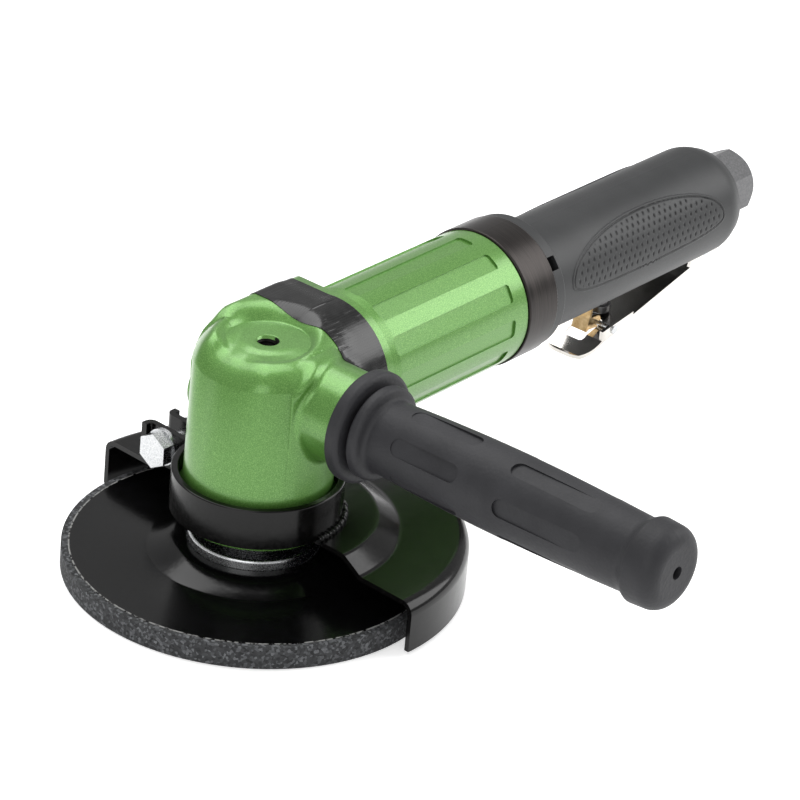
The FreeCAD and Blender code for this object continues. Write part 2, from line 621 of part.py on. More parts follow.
bearing("lower_spindle_bearing", AT_ORIGIN, "XZ", "V_Axis", "(journal_rad + run_gap)", "lower_bearing_rad",
        "bearing_base", "bearing_top")
tube("needle_bearing", AT_ORIGIN, "XZ", "V_Axis", [
    ("tail_rad + run_gap", "needle_base_z"),
    ("needle_rad", "needle_base_z"),
    ("needle_rad", "needle_base_z + needle_long"),
    ("tail_rad + run_gap", "needle_base_z + needle_long"),
])
tube("gear_spacer", AT_ORIGIN, "XZ", "V_Axis", [
    ("journal_rad", "bearing_top"),
    ("journal_rad + spacer_wall", "bearing_top"),
    ("journal_rad + spacer_wall", "gear_back_z - gear_hub_long"),
    ("journal_rad", "gear_back_z - gear_hub_long"),
])
tube("bearing_cap", AT_ORIGIN, "XZ", "V_Axis", [
    ("shoulder_rad + seal_gap", "seat_base_z"),
    ("cap_rad", "seat_base_z"),
    ("cap_rad", "bearing_top + cap_rim"),
    ("lower_bearing_rad", "bearing_top + cap_rim"),
    ("lower_bearing_rad", "bearing_base"),
    ("shoulder_rad + seal_gap", "bearing_base"),
])


# ---- bevel gears: teeth on cones whose common apex is the crossing of the spindle and motor axes
def involute(angle):
    return math.tan(angle) - angle


def toothOutline(pitchRad, coneAngle, module, rootDepth):
    """Half the outline of one tooth, (across, above the pitch cone), from the back cone's spur gear."""
    spur = pitchRad / math.cos(coneAngle)
    pressure = math.radians(size("pressure_angle"))
    base = spur * math.cos(pressure)
    halfWide = (math.pi * module / 2 - size("backlash") / 2) / 2
    heights = [-rootDepth, -0.4 * module, 0, 0.5 * module, module]
    half = []
    for height in heights:
        radius = spur + height
        flank = math.acos(base / radius) if radius > base else 0
        turn = halfWide / spur + involute(pressure) - involute(flank)
        half.append((radius * math.sin(turn), radius * math.cos(turn) - spur))
    return half


def bevelGear(label, teeth, pitchRad, otherRad, blank, placement, phase):
    """A straight bevel gear, its apex at the local origin, its axis along +Z and its heel at the far end."""
    coneAngle = math.atan2(pitchRad, otherRad)
    coneLong = math.hypot(pitchRad, otherRad)
    module = 2 * pitchRad / teeth
    toe = 1 - size("tooth_face") / coneLong
    heel = Vector(pitchRad, 0, otherRad)
    outward = Vector(math.cos(coneAngle), 0, -math.sin(coneAngle))
    root = size("root_depth") * module
    half = toothOutline(pitchRad, coneAngle, module, root + size("tooth_foot"))
    flank = [heel + outward * up + Vector(0, wide, 0) for wide, up in half]
    mirror = [Vector(p.x, -p.y, p.z) for p in reversed(flank)]
    loop = flank + mirror
    heelWire = Part.makePolygon(loop + [loop[0]])
    toeWire = Part.makePolygon([p * toe for p in loop + [loop[0]]])
    tooth = Part.makeLoft([heelWire, toeWire], True, True)
    step = 360 / teeth
    cogs = [tooth.rotated(Vector(), Vector(0, 0, 1), phase + step * i) for i in range(teeth)]
    rootHeel = heel - outward * root
    corners = [Vector(r, 0, h) for r, h in blank(rootHeel * toe, rootHeel)]
    disc = Part.Face(Part.makePolygon(corners + [corners[0]])).revolve(Vector(), Vector(0, 0, 1), 360)
    gear = doc.addObject("Part::Feature", label)
    gear.Label = label
    gear.Shape = disc.multiFuse(cogs).removeSplitter()
    gear.Placement = placement
    parts[label] = gear
    return gear


gearRad = size("gear_pitch_rad")
pinionRad = gearRad * size("pinion_teeth") / size("gear_teeth")
apex = Vector(0, 0, size("motor_z"))


def gearBlank(toe, heel):
    bore = size("journal_rad")
    back = size("motor_z") - size("gear_back_z")
    hub = size("gear_hub_rad")
    return [(bore, toe.z + size("web_drop")), (toe.x - size("web_drop"), toe.z + size("web_drop")),
            (toe.x, toe.z), (heel.x, heel.z), (heel.x, back), (hub, back),
            (hub, back + size("gear_hub_long")), (bore, back + size("gear_hub_long"))]


def pinionBlank(toe, heel):
    hub = size("pinion_hub_rad")
    shaft = size("pinion_shaft_rad")
    step = size("pinion_bearing_x")
    end = size("plate_front_x") - size("pinion_end_gap")
    return [(0, toe.z), (toe.x, toe.z), (heel.x, heel.z), (hub, heel.z + heel.x - hub), (hub, step),
            (shaft, step), (shaft, end), (0, end)]


bevelGear("bevel_gear", int(size("gear_teeth")), gearRad, pinionRad, gearBlank,
          FreeCAD.Placement(apex, FreeCAD.Rotation(Vector(1, 0, 0), 180)), 180 / size("gear_teeth"))
bevelGear("bevel_pinion", int(size("pinion_teeth")), pinionRad, gearRad, pinionBlank,
          FreeCAD.Placement(apex, FreeCAD.Rotation(Vector(0, 1, 0), 90)), 0)

bearing("pinion_bearing", AT_MOTOR, "XZ", "H_Axis", "(pinion_shaft_rad + run_gap)", "pinion_bearing_rad",
        "pinion_bearing_x", "(pinion_bearing_x + pinion_bearing_wide)")


# ---- gear housing
housing = newBody("gear_housing")
pad(housing, outline(housing, "XZ", [
    ("-chamber_front", "handle_z - boss_rad / 2"),
    ("-chamber_front", "shoulder_top_z", "chamber_round"),
    ("joint_x", "shoulder_top_z"),
    ("joint_x", "handle_z - boss_rad / 2"),
]), "shoulder_y", back=True)


def blockEdge(edge):
    """The outer edges of the block, along its top and round its front."""
    box = edge.BoundBox
    ahead = box.XMin < size("joint_x") - FINE
    return ahead and abs(box.YMin - size("shoulder_y")) < FINE and box.ZMax > size("far_boss_z")


soften(housing, "block_round", blockEdge)
revolve(housing, outline(housing, "XZ", [
    ("0", "seat_base_z"),
    ("seat_rad", "seat_base_z", "edge_break"),
    ("seat_rad", "seat_top_z"),
    ("head_rad", "seat_top_z + seat_rad - head_rad"),
    ("head_rad", "head_top_z", "head_round"),
    ("0", "head_top_z"),
]), "V_Axis")
pad(housing, circles(housing, "YZ", [("0", "motor_z", "neck_rad")]), "joint_x")
groove(housing, outline(housing, "XZ", [
    ("0", "head_top_z"),
    ("recess_rad", "head_top_z", "recess_round"),
    ("recess_rad + recess_slope", "head_top_z + recess_high"),
    ("0", "head_top_z + recess_high"),
]), "V_Axis")
pad(housing, circles(housing, "XZ", [("handle_x", "handle_z", "boss_rad")]), "boss_face_y")
pad(housing, circles(housing, "XZ", [("far_boss_x", "far_boss_z", "far_boss_rad")]),
    "far_boss_face_y", back=True)


def castCrease(edge):
    """The creases where the handle boss, the neck and the foot run into the head."""
    box = edge.BoundBox
    if isinstance(edge.Curve, Part.Circle):
        foot = size("seat_top_z + seat_rad - head_rad")
        return abs(box.ZMin - foot) < FINE and abs(box.ZMax - foot) < FINE
    low = isinstance(edge.Curve, Part.BSplineCurve) and box.ZMax < size("head_top_z - edge_round")
    return low and (box.YMax < FINE or box.XMax > size("head_rad") - FINE)


def bossRim(edge):
    """The rim of the handle boss's face."""
    return abs(edge.BoundBox.YMax + size("boss_face_y")) < FINE


soften(housing, "cast_round", castCrease)
soften(housing, "edge_round", bossRim)
groove(housing, outline(housing, "XZ", [
    ("0", "seat_base_z - cut_past"),
    ("cap_rad", "seat_base_z - cut_past"),
    ("cap_rad", "bearing_top + cap_rim"),
    ("head_rad - head_wall", "bearing_top + cap_rim"),
    ("head_rad - head_wall", "cavity_top_z"),
    ("needle_rad + post_wall", "cavity_top_z"),
    ("needle_rad + post_wall", "needle_base_z"),
    ("needle_rad", "needle_base_z"),
    ("needle_rad", "needle_base_z + needle_long"),
    ("0", "needle_base_z + needle_long"),
]), "V_Axis")
pocket(housing, circles(housing, "YZ", [("0", "motor_z", "pinion_bearing_rad")], "pinion_bore_x"),
       "joint_x", back=True)
pocket(housing, circles(housing, "YZ", [("0", "motor_z", "liner_rad")],
                        "pinion_bearing_x + pinion_bearing_wide"), "joint_x", back=True)
pocket(housing, circles(housing, "XY", [("0", "0", "thread_hole_rad")], "head_top_z"), "top_hole_deep")
pocket(housing, circles(housing, "XZ", [("handle_x", "handle_z", "thread_hole_rad")], "boss_face_y"),
       "thread_hole_deep")
pocket(housing, circles(housing, "XZ", [("far_boss_x", "far_boss_z", "thread_hole_rad")], "-far_boss_face_y"),
       "far_hole_deep", back=True)


# ---- motor housing with its fluted outside
barrel = tube("motor_housing", AT_MOTOR, "XZ", "H_Axis", [
    ("joint_x", "liner_rad"),
    ("joint_x", "neck_rad"),
    ("joint_x + barrel_shoulder", "barrel_rad", "barrel_round"),
    ("barrel_end_x", "barrel_rad", "edge_break"),
    ("barrel_end_x", "spigot_rad"),
    ("barrel_end_x + spigot_long", "spigot_rad"),
    ("barrel_end_x + spigot_long", "liner_rad"),
])
flute = pocket(barrel, outline(barrel, "XY", [
    ("panel_start_x", "-flute_wide / 2", "flute_round"),
    ("panel_end_x", "-flute_wide / 2", "flute_round"),
    ("panel_end_x", "flute_wide / 2", "flute_round"),
    ("panel_start_x", "flute_wide / 2", "flute_round"),
], "barrel_rad - flute_deep"), "2 * flute_deep", back=True)
ring(barrel, "X_Axis", flute, "360 / flute_step")


# ---- air motor: liner, end plates, rotor with its vanes, bearings

liner = tube("motor_liner", AT_MOTOR, "XZ", "H_Axis", [
    ("plate_end", "0"),
    ("plate_end", "liner_rad"),
    ("rear_plate", "liner_rad"),
    ("rear_plate", "0"),
])
pocket(liner, circles(liner, "YZ", [("0", "-liner_offset", "liner_bore_rad")], "plate_end"),
       "rear_plate - plate_end", back=True)


def endPlate(label, low, high, mouth):
    """An end plate of the motor with its bearing's seat open towards one side."""
    seat = f"({mouth} + {'rotor_bearing_wide' if mouth == low else '-rotor_bearing_wide'})"
    other = high if mouth == low else low
    return tube(label, AT_MOTOR, "XZ", "H_Axis", [
        (mouth, "rotor_bearing_rad"),
        (seat, "rotor_bearing_rad"),
        (seat, "rotor_journal_rad + seal_gap"),
        (other, "rotor_journal_rad + seal_gap"),
        (other, "liner_rad"),
        (mouth, "liner_rad"),
    ])


endPlate("front_end_plate", "plate_front_x", "plate_end", "plate_front_x")
endPlate("rear_end_plate", "rear_plate", "rear_plate_end", "rear_plate_end")
bearing("front_rotor_bearing", AT_MOTOR, "XZ", "H_Axis", "(rotor_journal_rad + run_gap)", "rotor_bearing_rad",
        "plate_front_x", "(plate_front_x + rotor_bearing_wide)")
bearing("rear_rotor_bearing", AT_MOTOR, "XZ", "H_Axis", "(rotor_journal_rad + run_gap)", "rotor_bearing_rad",
        "(rear_plate_end - rotor_bearing_wide)", "rear_plate_end")

rotor = tube("rotor", AT_MOTOR, "XZ", "H_Axis", [
    ("plate_front_x - pinion_end_gap", "0"),
    ("plate_front_x - pinion_end_gap", "rotor_journal_rad"),
    ("plate_end + rotor_end_gap", "rotor_journal_rad"),
    ("plate_end + rotor_end_gap", "rotor_rad"),
    ("rear_plate - rotor_end_gap", "rotor_rad"),
    ("rear_plate - rotor_end_gap", "rotor_journal_rad"),
    ("rear_plate_end", "rotor_journal_rad"),
    ("rear_plate_end", "0"),
])
slot = pocket(rotor, outline(rotor, "YZ", [
    ("-vane_thick / 2", "rotor_rad - vane_deep"),
    ("vane_thick / 2", "rotor_rad - vane_deep"),
    ("vane_thick / 2", "rotor_rad + cut_past"),
    ("-vane_thick / 2", "rotor_rad + cut_past"),
], "plate_end + rotor_end_gap"), "rear_plate - plate_end - 2 * rotor_end_gap", back=True)
ring(rotor, "X_Axis", slot, "vane_count")

vaneLong = size("rear_plate") - size("plate_end") - 2 * size("rotor_end_gap")
vaneThick = size("vane_thick") - 2 * size("vane_gap")
vaneFoot = size("rotor_rad") - size("vane_deep") + size("vane_gap")
vane = Part.makeBox(vaneLong, vaneThick, size("rotor_rad") - vaneFoot,
                    Vector(size("plate_end") + size("rotor_end_gap"), -vaneThick / 2, vaneFoot))
vanes = doc.addObject("Part::Feature", "rotor_vanes")
vanes.Label = "rotor_vanes"
vanes.Shape = Part.makeCompound([vane.rotated(Vector(), Vector(1, 0, 0), 360 / size("vane_count") * i)
                                 for i in range(int(size("vane_count")))])
vanes.Placement = FreeCAD.Placement(apex, FreeCAD.Rotation())
parts["rotor_vanes"] = vanes


# ---- rear collar, notched ring, throttle body, grip and inlet
tube("rear_collar", AT_MOTOR, "XZ", "H_Axis", [
    ("barrel_end_x", "spigot_rad"),
    ("barrel_end_x", "collar_rad", "edge_break"),
    ("collar_end", "collar_rad", "edge_break"),
    ("collar_end", "collar_bore_rad"),
    ("barrel_end_x + spigot_long", "collar_bore_rad"),
    ("barrel_end_x + spigot_long", "spigot_rad"),
])
notched = tube("exhaust_ring", AT_MOTOR, "XZ", "H_Axis", [
    ("collar_end", "collar_bore_rad"),
    ("collar_end", "notch_ring_rad"),
    ("grip_start", "notch_ring_rad", "edge_break"),
    ("grip_start", "collar_bore_rad"),
])
notch = pocket(notched, outline(notched, "XY", [
    ("collar_end - cut_past", "-notch_wide / 2"),
    ("grip_start - notch_web", "-notch_wide / 2"),
    ("grip_start - notch_web", "notch_wide / 2"),
    ("collar_end - cut_past", "notch_wide / 2"),
], "notch_ring_rad + cut_past"), "notch_ring_rad - collar_bore_rad + 1 - notch_floor")
ring(notched, "X_Axis", notch, "notch_count")
notched.Placement = FreeCAD.Placement(notched.Placement.Base, FreeCAD.Rotation(Vector(1, 0, 0), 1))
tie(notched, "Placement.Rotation.Angle", "notch_turn")

core = tube("throttle_body", AT_MOTOR, "XZ", "H_Axis", [
    ("barrel_end_x - core_gap", "air_passage_rad"),
    ("barrel_end_x - core_gap", "liner_rad"),
    ("barrel_end_x - core_gap + core_flange_long", "liner_rad"),
    ("barrel_end_x - core_gap + core_flange_long", "core_rad"),
    ("core_tail_start", "core_rad"),
    ("core_tail_start", "core_tail_rad"),
    ("grip_end", "core_tail_rad"),
    ("grip_end", "inlet_thread_rad"),
    ("grip_end - inlet_thread_long", "inlet_thread_rad"),
    ("grip_end - inlet_thread_long", "air_passage_rad"),
])
pocket(core, circles(core, "XY", [("valve_x", "0", "guide_rad")], "valve_spring_top - motor_z"),
       "2 * core_rad")

grip = newBody("grip", AT_MOTOR)
gripSketch = outline(grip, "XZ", [
    ("grip_start", "0"),
    ("grip_start", "grip_front_rad", "edge_round"),
    ("grip_end - grip_round_long", "grip_rear_rad", "grip_bend_rad"),
    ("grip_end", "grip_end_rad", "edge_round"),
    ("grip_end", "0"),
])
tie(gripSketch, "AttachmentOffset.Base.y", "-grip_drop")
revolve(grip, gripSketch, "H_Axis")
pocket(grip, outline(grip, "XZ", [
    ("grip_flat_start - flat_run", "-2 * core_rad"),
    ("grip_flat_start", "grip_flat_z - motor_z"),
    ("lug_start", "grip_flat_z - motor_z"),
    ("grip_end + cut_past", "grip_heel_z - motor_z"),
    ("grip_end + cut_past", "-2 * core_rad"),
]), "4 * core_rad", middle=True)
pad(grip, outline(grip, "XZ", [
    ("lug_start", "-core_tail_rad"),
    ("pivot_x - lug_foot", "pivot_z - motor_z - lug_drop", "edge_soft"),
    ("pivot_x + lug_foot", "pivot_z - motor_z - lug_drop", "edge_soft"),
    ("grip_end - edge_break", "-core_tail_rad"),
]), "lug_wide", middle=True)
pocket(grip, circles(grip, "XZ", [("pivot_x", "pivot_z - motor_z", "pivot_pin_rad")]),
       "lug_wide + 2 * cut_past", middle=True)
pocket(grip, circles(grip, "XY", [("valve_x", "0", "guide_rad")], "-2 * core_rad"), "2 * core_rad", back=True)
groove(grip, outline(grip, "XZ", [
    ("grip_start - cut_past", "0"),
    ("grip_start - cut_past", "core_rad"),
    ("core_tail_start", "core_rad"),
    ("core_tail_start", "core_tail_rad"),
    ("grip_end + cut_past", "core_tail_rad"),
    ("grip_end + cut_past", "0"),
]), "H_Axis")

tube("inlet_washer", AT_MOTOR, "XZ", "H_Axis", [
    ("grip_end", "inlet_thread_rad"),
    ("grip_end", "seal_rad"),
    ("grip_end + seal_thick", "seal_rad"),
    ("grip_end + seal_thick", "inlet_thread_rad"),
])
inlet = newBody("inlet_bushing", AT_MOTOR)


def hexagon(body, plane, across, offset, y="0", z="0"):
    """A hexagon with two corners in line with the sketch's second axis."""
    corner = f"({across} / 2 / cos(30))"
    spots = [(f"{y}", f"{z} + {corner}"), (f"{y} - {across} / 2", f"{z} + {corner} / 2"),
             (f"{y} - {across} / 2", f"{z} - {corner} / 2"), (f"{y}", f"{z} - {corner}"),
             (f"{y} + {across} / 2", f"{z} - {corner} / 2"), (f"{y} + {across} / 2", f"{z} + {corner} / 2")]
    return outline(body, plane, spots, offset)


pad(inlet, hexagon(inlet, "YZ", "inlet_flats", "inlet_start"), "inlet_long")
groove(inlet, outline(inlet, "XZ", [
    ("inlet_end + cut_past", "inlet_flats / 2 - cut_past"),
    ("inlet_end + cut_past", "inlet_corner + cut_past"),
    ("inlet_end - inlet_bevel", "inlet_corner + cut_past"),
    ("inlet_end - inlet_bevel", "inlet_corner"),
]), "H_Axis")
pad(inlet, circles(inlet, "YZ", [("0", "0", "inlet_thread_rad")], "grip_end - inlet_thread_long"),
    "inlet_thread_long + seal_thick")
pocket(inlet, circles(inlet, "YZ", [("0", "0", "hose_thread_rad")], "inlet_end"), "hose_thread_deep")
pocket(inlet, circles(inlet, "YZ", [("0", "0", "air_passage_rad")], "inlet_end"),
       "inlet_long + 2 * inlet_thread_long")


# ---- throttle valve
AT_VALVE = ("valve_x", "0", "0")
tube("plunger_guide", AT_VALVE, "XZ", "V_Axis", [
    ("plunger_rad + slip_gap", "guide_base"),
    ("guide_rad", "guide_base"),
    ("guide_rad", "guide_top"),
    ("plunger_rad + slip_gap", "guide_top"),
])
tube("valve_plunger", AT_VALVE, "XZ", "V_Axis", [
    ("0", "lever_at_valve"),
    ("plunger_head_rad", "lever_at_valve", "edge_round"),
    ("plunger_head_rad", "lever_at_valve + plunger_head_long"),
    ("plunger_rad", "lever_at_valve + plunger_head_long"),
    ("plunger_rad", "guide_top"),
    ("0", "guide_top"),
])
tube("valve_poppet", AT_VALVE, "XZ", "V_Axis", [
    ("0", "guide_top"),
    ("poppet_rad", "guide_top"),
    ("poppet_rad", "guide_top + poppet_thick", "edge_break"),
    ("0", "guide_top + poppet_thick"),
])

# ---- throttle lever, bent from sheet, with its pin and safety catch
lever = newBody("throttle_lever")
pad(lever, outline(lever, "XZ", [
    ("lever_tip_x", "lever_tip_z"),
    ("lever_tip_x + lip_flat", "lever_tip_z"),
    ("lever_front_x", "lever_front_z", "lip_bend"),
    ("lever_bend_x", "lever_bend_z", "heel_bend"),
    ("lever_heel_x", "lever_heel_z"),
    ("lever_heel_x", "ear_rear_z", "edge_soft"),
    ("lever_ear_x", "ear_front_z", "edge_round"),
    ("lever_ear_x - cut_past", "lever_bend_z - lever_slope + lever_gauge + side_top"),
    ("lever_front_x + tab_long", "lever_front_z + lever_slope * tab_long + lever_gauge + side_top"),
    ("lever_front_x + tab_long", "lever_front_z + lever_slope * tab_long + lever_gauge + tab_rear_top"),
    ("lever_front_x", "lever_front_z + lever_gauge + tab_front_top"),
    ("lever_front_x", "lever_front_z + lever_gauge"),
    ("lever_tip_x + lever_gauge", "lever_tip_z + lever_gauge"),
    ("lever_tip_x", "lever_tip_z + lever_gauge"),
]), "lever_wide", middle=True)
pocket(lever, outline(lever, "XZ", [
    ("lever_front_x - cut_past", "lever_front_z - lever_slope + lever_gauge"),
    ("lever_bend_x", "lever_bend_z + lever_gauge"),
    ("lever_heel_x + cut_past", "lever_heel_z + lever_gauge"),
    ("lever_heel_x + cut_past", "ear_rear_z + 2 * cut_past"),
    ("lever_front_x - cut_past", "ear_rear_z + 2 * cut_past"),
]), "lever_wide - 2 * lever_gauge", middle=True)
for side in ("-1", "1"):
    pocket(lever, outline(lever, "XY", [
        ("lever_tip_x + lever_corner + cut_past", f"{side} * lever_wide / 2"),
        ("lever_tip_x", f"{side} * lever_wide / 2", "lever_corner"),
        ("lever_tip_x", f"{side} * (lever_wide / 2 - lever_corner - 1)"),
        ("lever_tip_x - cut_past", f"{side} * (lever_wide / 2 - lever_corner - 1)"),
        ("lever_tip_x - cut_past", f"{side} * (lever_wide / 2 + 1)"),
        ("lever_tip_x + lever_corner + cut_past", f"{side} * (lever_wide / 2 + 1)"),
    ], "lever_tip_z - cut_past"), "lever_front_z", back=True)
pocket(lever, outline(lever, "XY", [
    ("window_front", "-window_wide / 2", "edge_soft"),
    ("window_rear", "-window_wide / 2", "edge_soft"),
    ("window_rear", "window_wide / 2", "edge_soft"),
    ("window_front", "window_wide / 2", "edge_soft"),
], "lever_tip_z - cut_past"), "ear_rear_z - lever_tip_z", back=True)
pocket(lever, outline(lever, "XY", [
    ("lug_window_x", "-(lug_wide / 2 + lug_gap)", "edge_soft"),
    ("lever_heel_x + cut_past", "-(lug_wide / 2 + lug_gap)"),
    ("lever_heel_x + cut_past", "lug_wide / 2 + lug_gap"),
    ("lug_window_x", "lug_wide / 2 + lug_gap", "edge_soft"),
], "lever_tip_z - cut_past"), "ear_rear_z - lever_tip_z", back=True)
pocket(lever, circles(lever, "XZ", [("pivot_x", "pivot_z", "pivot_pin_rad + slip_gap"),
                                    ("catch_pin_x", "catch_pin_z", "catch_pin_rad")]),
       "lever_wide + 2 * cut_past", middle=True)


def turnedPin(label, x, z, radius, long, head):
    """A pin along Y with a low head on its near end and its far end riveted over."""
    pin = newBody(label, (x, "0", z))
    revolve(pin, outline(pin, "XY", [
        ("0", f"-({long} / 2 + {head})"),
        (f"{radius} * pin_head_share", f"-({long} / 2 + {head})", f"{head} / 2"),
        (f"{radius} * pin_head_share", f"-{long} / 2"),
        (radius, f"-{long} / 2"),
        (radius, f"{long} / 2"),
        (f"{radius} * pin_head_share", f"{long} / 2"),
        (f"{radius} * pin_head_share", f"{long} / 2 + {head}", f"{head} / 2"),
        ("0", f"{long} / 2 + {head}"),
    ]), "V_Axis")
    return pin


turnedPin("lever_pin", "pivot_x", "pivot_z", "pivot_pin_rad", "(lever_wide + 2 * slip_gap)", "pin_head")
turnedPin("catch_pin", "catch_pin_x", "catch_pin_z", "catch_pin_rad", "lever_wide", "pin_head")

catch = newBody("safety_catch")
pad(catch, outline(catch, "XZ", [
    ("catch_toe_x", "catch_toe_z"),
    ("catch_toe_x + catch_gauge", "catch_toe_z"),
    ("catch_knee_x + catch_gauge", "catch_knee_z"),
    ("catch_top_x + catch_gauge", "catch_top_z"),
    ("catch_top_x", "catch_top_z"),
    ("catch_knee_x", "catch_knee_z"),
]), "catch_wide", middle=True)
pad(catch, outline(catch, "XZ", [
    ("catch_toe_x + catch_gauge / 2", "catch_toe_z + edge_break"),
    ("catch_pin_x + catch_ear_rad", "catch_pin_z - catch_ear_rad", "catch_ear_rad * round_share"),
    ("catch_pin_x + catch_ear_rad", "catch_pin_z + catch_ear_rad", "catch_ear_rad * round_share"),
    ("catch_knee_x + catch_gauge / 2", "catch_knee_z"),
]), "catch_wide", middle=True)
pocket(catch, outline(catch, "XZ", [
    ("catch_toe_x + catch_gauge", "catch_toe_z"),
    ("catch_pin_x + 2 * catch_ear_rad", "catch_toe_z - 2 * cut_past"),
    ("catch_pin_x + 2 * catch_ear_rad", "catch_knee_z + 2 * cut_past"),
    ("catch_knee_x + catch_gauge", "catch_knee_z + cut_past"),
    ("catch_knee_x + catch_gauge", "catch_knee_z"),
]), "catch_wide - 2 * catch_gauge", middle=True)
pocket(catch, circles(catch, "XZ", [("catch_pin_x", "catch_pin_z", "catch_pin_rad + slip_gap")]),
       "catch_wide + 2 * cut_past", middle=True)


def coilSpring(label, place, wireRad, coilRad, turns, long):
    """A helical spring along +Z of the placement, between the middles of its end turns."""
    coil = Part.makeHelix(long / turns, long, coilRad)
    start = Part.Wire(Part.makeCircle(wireRad, Vector(coilRad, 0, 0), Vector(0, 1, 0)))
    spring = doc.addObject("Part::Feature", label)
    spring.Label = label
    spring.Shape = Part.Wire(coil).makePipeShell([start], True, True)
    spring.Placement = place
    parts[label] = spring


springBase = size("guide_top") + size("poppet_thick") + size("spring_wire_rad")
coilSpring("valve_spring", FreeCAD.Placement(Vector(size("valve_x"), 0, springBase), FreeCAD.Rotation()),
           size("spring_wire_rad"), size("spring_coil_rad"), size("spring_turns"),
           size("valve_spring_top") - size("spring_wire_rad") - springBase)
catchSpringLong = size("catch_wide - 2 * catch_gauge - 2 * catch_wire_rad - 2 * slip_gap")
catchSpringEnd = Vector(size("catch_pin_x"), catchSpringLong / 2, size("catch_pin_z"))
coilSpring("catch_spring", FreeCAD.Placement(catchSpringEnd, FreeCAD.Rotation(Vector(1, 0, 0), 90)),
           size("catch_wire_rad"), size("catch_pin_rad") + size("catch_wire_rad") + size("slip_gap"),
           size("catch_turns"), catchSpringLong)


# ---- wheel guard: half shell, clamp collar and its bolt
def turnWithGuard(body):
    body.Placement = FreeCAD.Placement(Vector(), FreeCAD.Rotation(Vector(0, 0, 1), 0))
    tie(body, "Placement.Rotation.Angle", "guard_turn")
    return body


shell = turnWithGuard(newBody("guard_shell"))
sheetSketch = outline(shell, "XZ", [
    ("seat_rad + shell_gap", "plate_upper_z - guard_gauge"),
    ("cone_top_rad - guard_gauge / 2", "plate_upper_z - guard_gauge", "guard_bend - guard_gauge / 2"),
    ("cone_foot_rad - guard_gauge / 2", "plate_lower_z - guard_gauge", "guard_bend + guard_gauge / 2"),
    ("guard_rad - guard_gauge", "plate_lower_z - guard_gauge", "guard_round - guard_gauge"),
    ("guard_rad - guard_gauge", "skirt_foot_z"),
    ("guard_rad", "skirt_foot_z"),
    ("guard_rad", "plate_lower_z", "guard_round"),
    ("cone_foot_rad", "plate_lower_z", "guard_bend"),
    ("cone_top_rad", "plate_upper_z", "guard_bend"),
    ("seat_rad + shell_gap", "plate_upper_z"),
])
half = shell.newObject("PartDesign::Revolution", "guard_shell_half")
half.Profile = sheetSketch
half.ReferenceAxis = (sheetSketch, ["V_Axis"])
half.Midplane = True
tie(half, "Angle", "guard_sweep")
doc.recompute()

collar = turnWithGuard(newBody("guard_collar"))
revolve(collar, outline(collar, "XZ", [
    ("seat_rad + collar_turn_gap", "plate_upper_z"),
    ("collar_band_rad", "plate_upper_z"),
    ("collar_band_rad", "collar_band_top_z", "edge_break"),
    ("seat_rad + collar_turn_gap", "collar_band_top_z", "edge_break"),
]), "V_Axis")
for side in ("-1", "1"):
    pad(collar, outline(collar, "XY", [
        (f"{side} * ear_gap / 2", "seat_rad + collar_turn_gap + ear_gauge / 2"),
        (f"{side} * ear_gap / 2", "clamp_ear_end", "ear_gauge + edge_break"),
        (f"{side} * (ear_gap / 2 + ear_gauge + ear_turned)", "clamp_ear_end"),
        (f"{side} * (ear_gap / 2 + ear_gauge + ear_turned)", "clamp_ear_end - ear_gauge"),
        (f"{side} * (ear_gap / 2 + ear_gauge)", "clamp_ear_end - ear_gauge", "edge_break"),
        (f"{side} * (ear_gap / 2 + ear_gauge)", "seat_rad + collar_turn_gap + ear_gauge / 2"),
    ], "plate_upper_z + shell_gap"), "collar_band_top_z - plate_upper_z - shell_gap")
pocket(collar, outline(collar, "XY", [
    ("-ear_gap / 2", "seat_rad - cut_past"),
    ("ear_gap / 2", "seat_rad - cut_past"),
    ("ear_gap / 2", "collar_band_rad + cut_past"),
    ("-ear_gap / 2", "collar_band_rad + cut_past"),
], "plate_upper_z - cut_past"), "collar_band_top_z", back=True)
pocket(collar, circles(collar, "YZ", [("clamp_bolt_y", "clamp_bolt_z", "clamp_bolt_rad + slip_gap")]),
       "4 * (ear_gap + ear_gauge)", middle=True)

bolt = turnWithGuard(newBody("clamp_bolt"))
headStart = "-(washer_face + clamp_head_thick)"
pad(bolt, hexagon(bolt, "YZ", "clamp_hex", headStart, "clamp_bolt_y", "clamp_bolt_z"), "clamp_head_thick")
pad(bolt, circles(bolt, "YZ", [("clamp_bolt_y", "clamp_bolt_z", "clamp_bolt_rad")], "-washer_face"),
    "washer_face + clamp_bolt_end")
clampNut = turnWithGuard(newBody("clamp_nut"))
pad(clampNut, hexagon(clampNut, "YZ", "clamp_hex", "washer_face", "clamp_bolt_y", "clamp_bolt_z"),
    "clamp_nut_thick")
pocket(clampNut, circles(clampNut, "YZ", [("clamp_bolt_y", "clamp_bolt_z", "clamp_bolt_rad")], "washer_face"),
       "clamp_nut_thick", back=True)


def washer(label, start):
    body = turnWithGuard(newBody(label))
    pad(body, circles(body, "YZ", [("clamp_bolt_y", "clamp_bolt_z", "washer_rad"),
                                   ("clamp_bolt_y", "clamp_bolt_z", "clamp_bolt_rad + slip_gap")], start),
        "washer_thick")


washer("clamp_head_washer", "-washer_face")
washer("clamp_nut_washer", "ear_face")


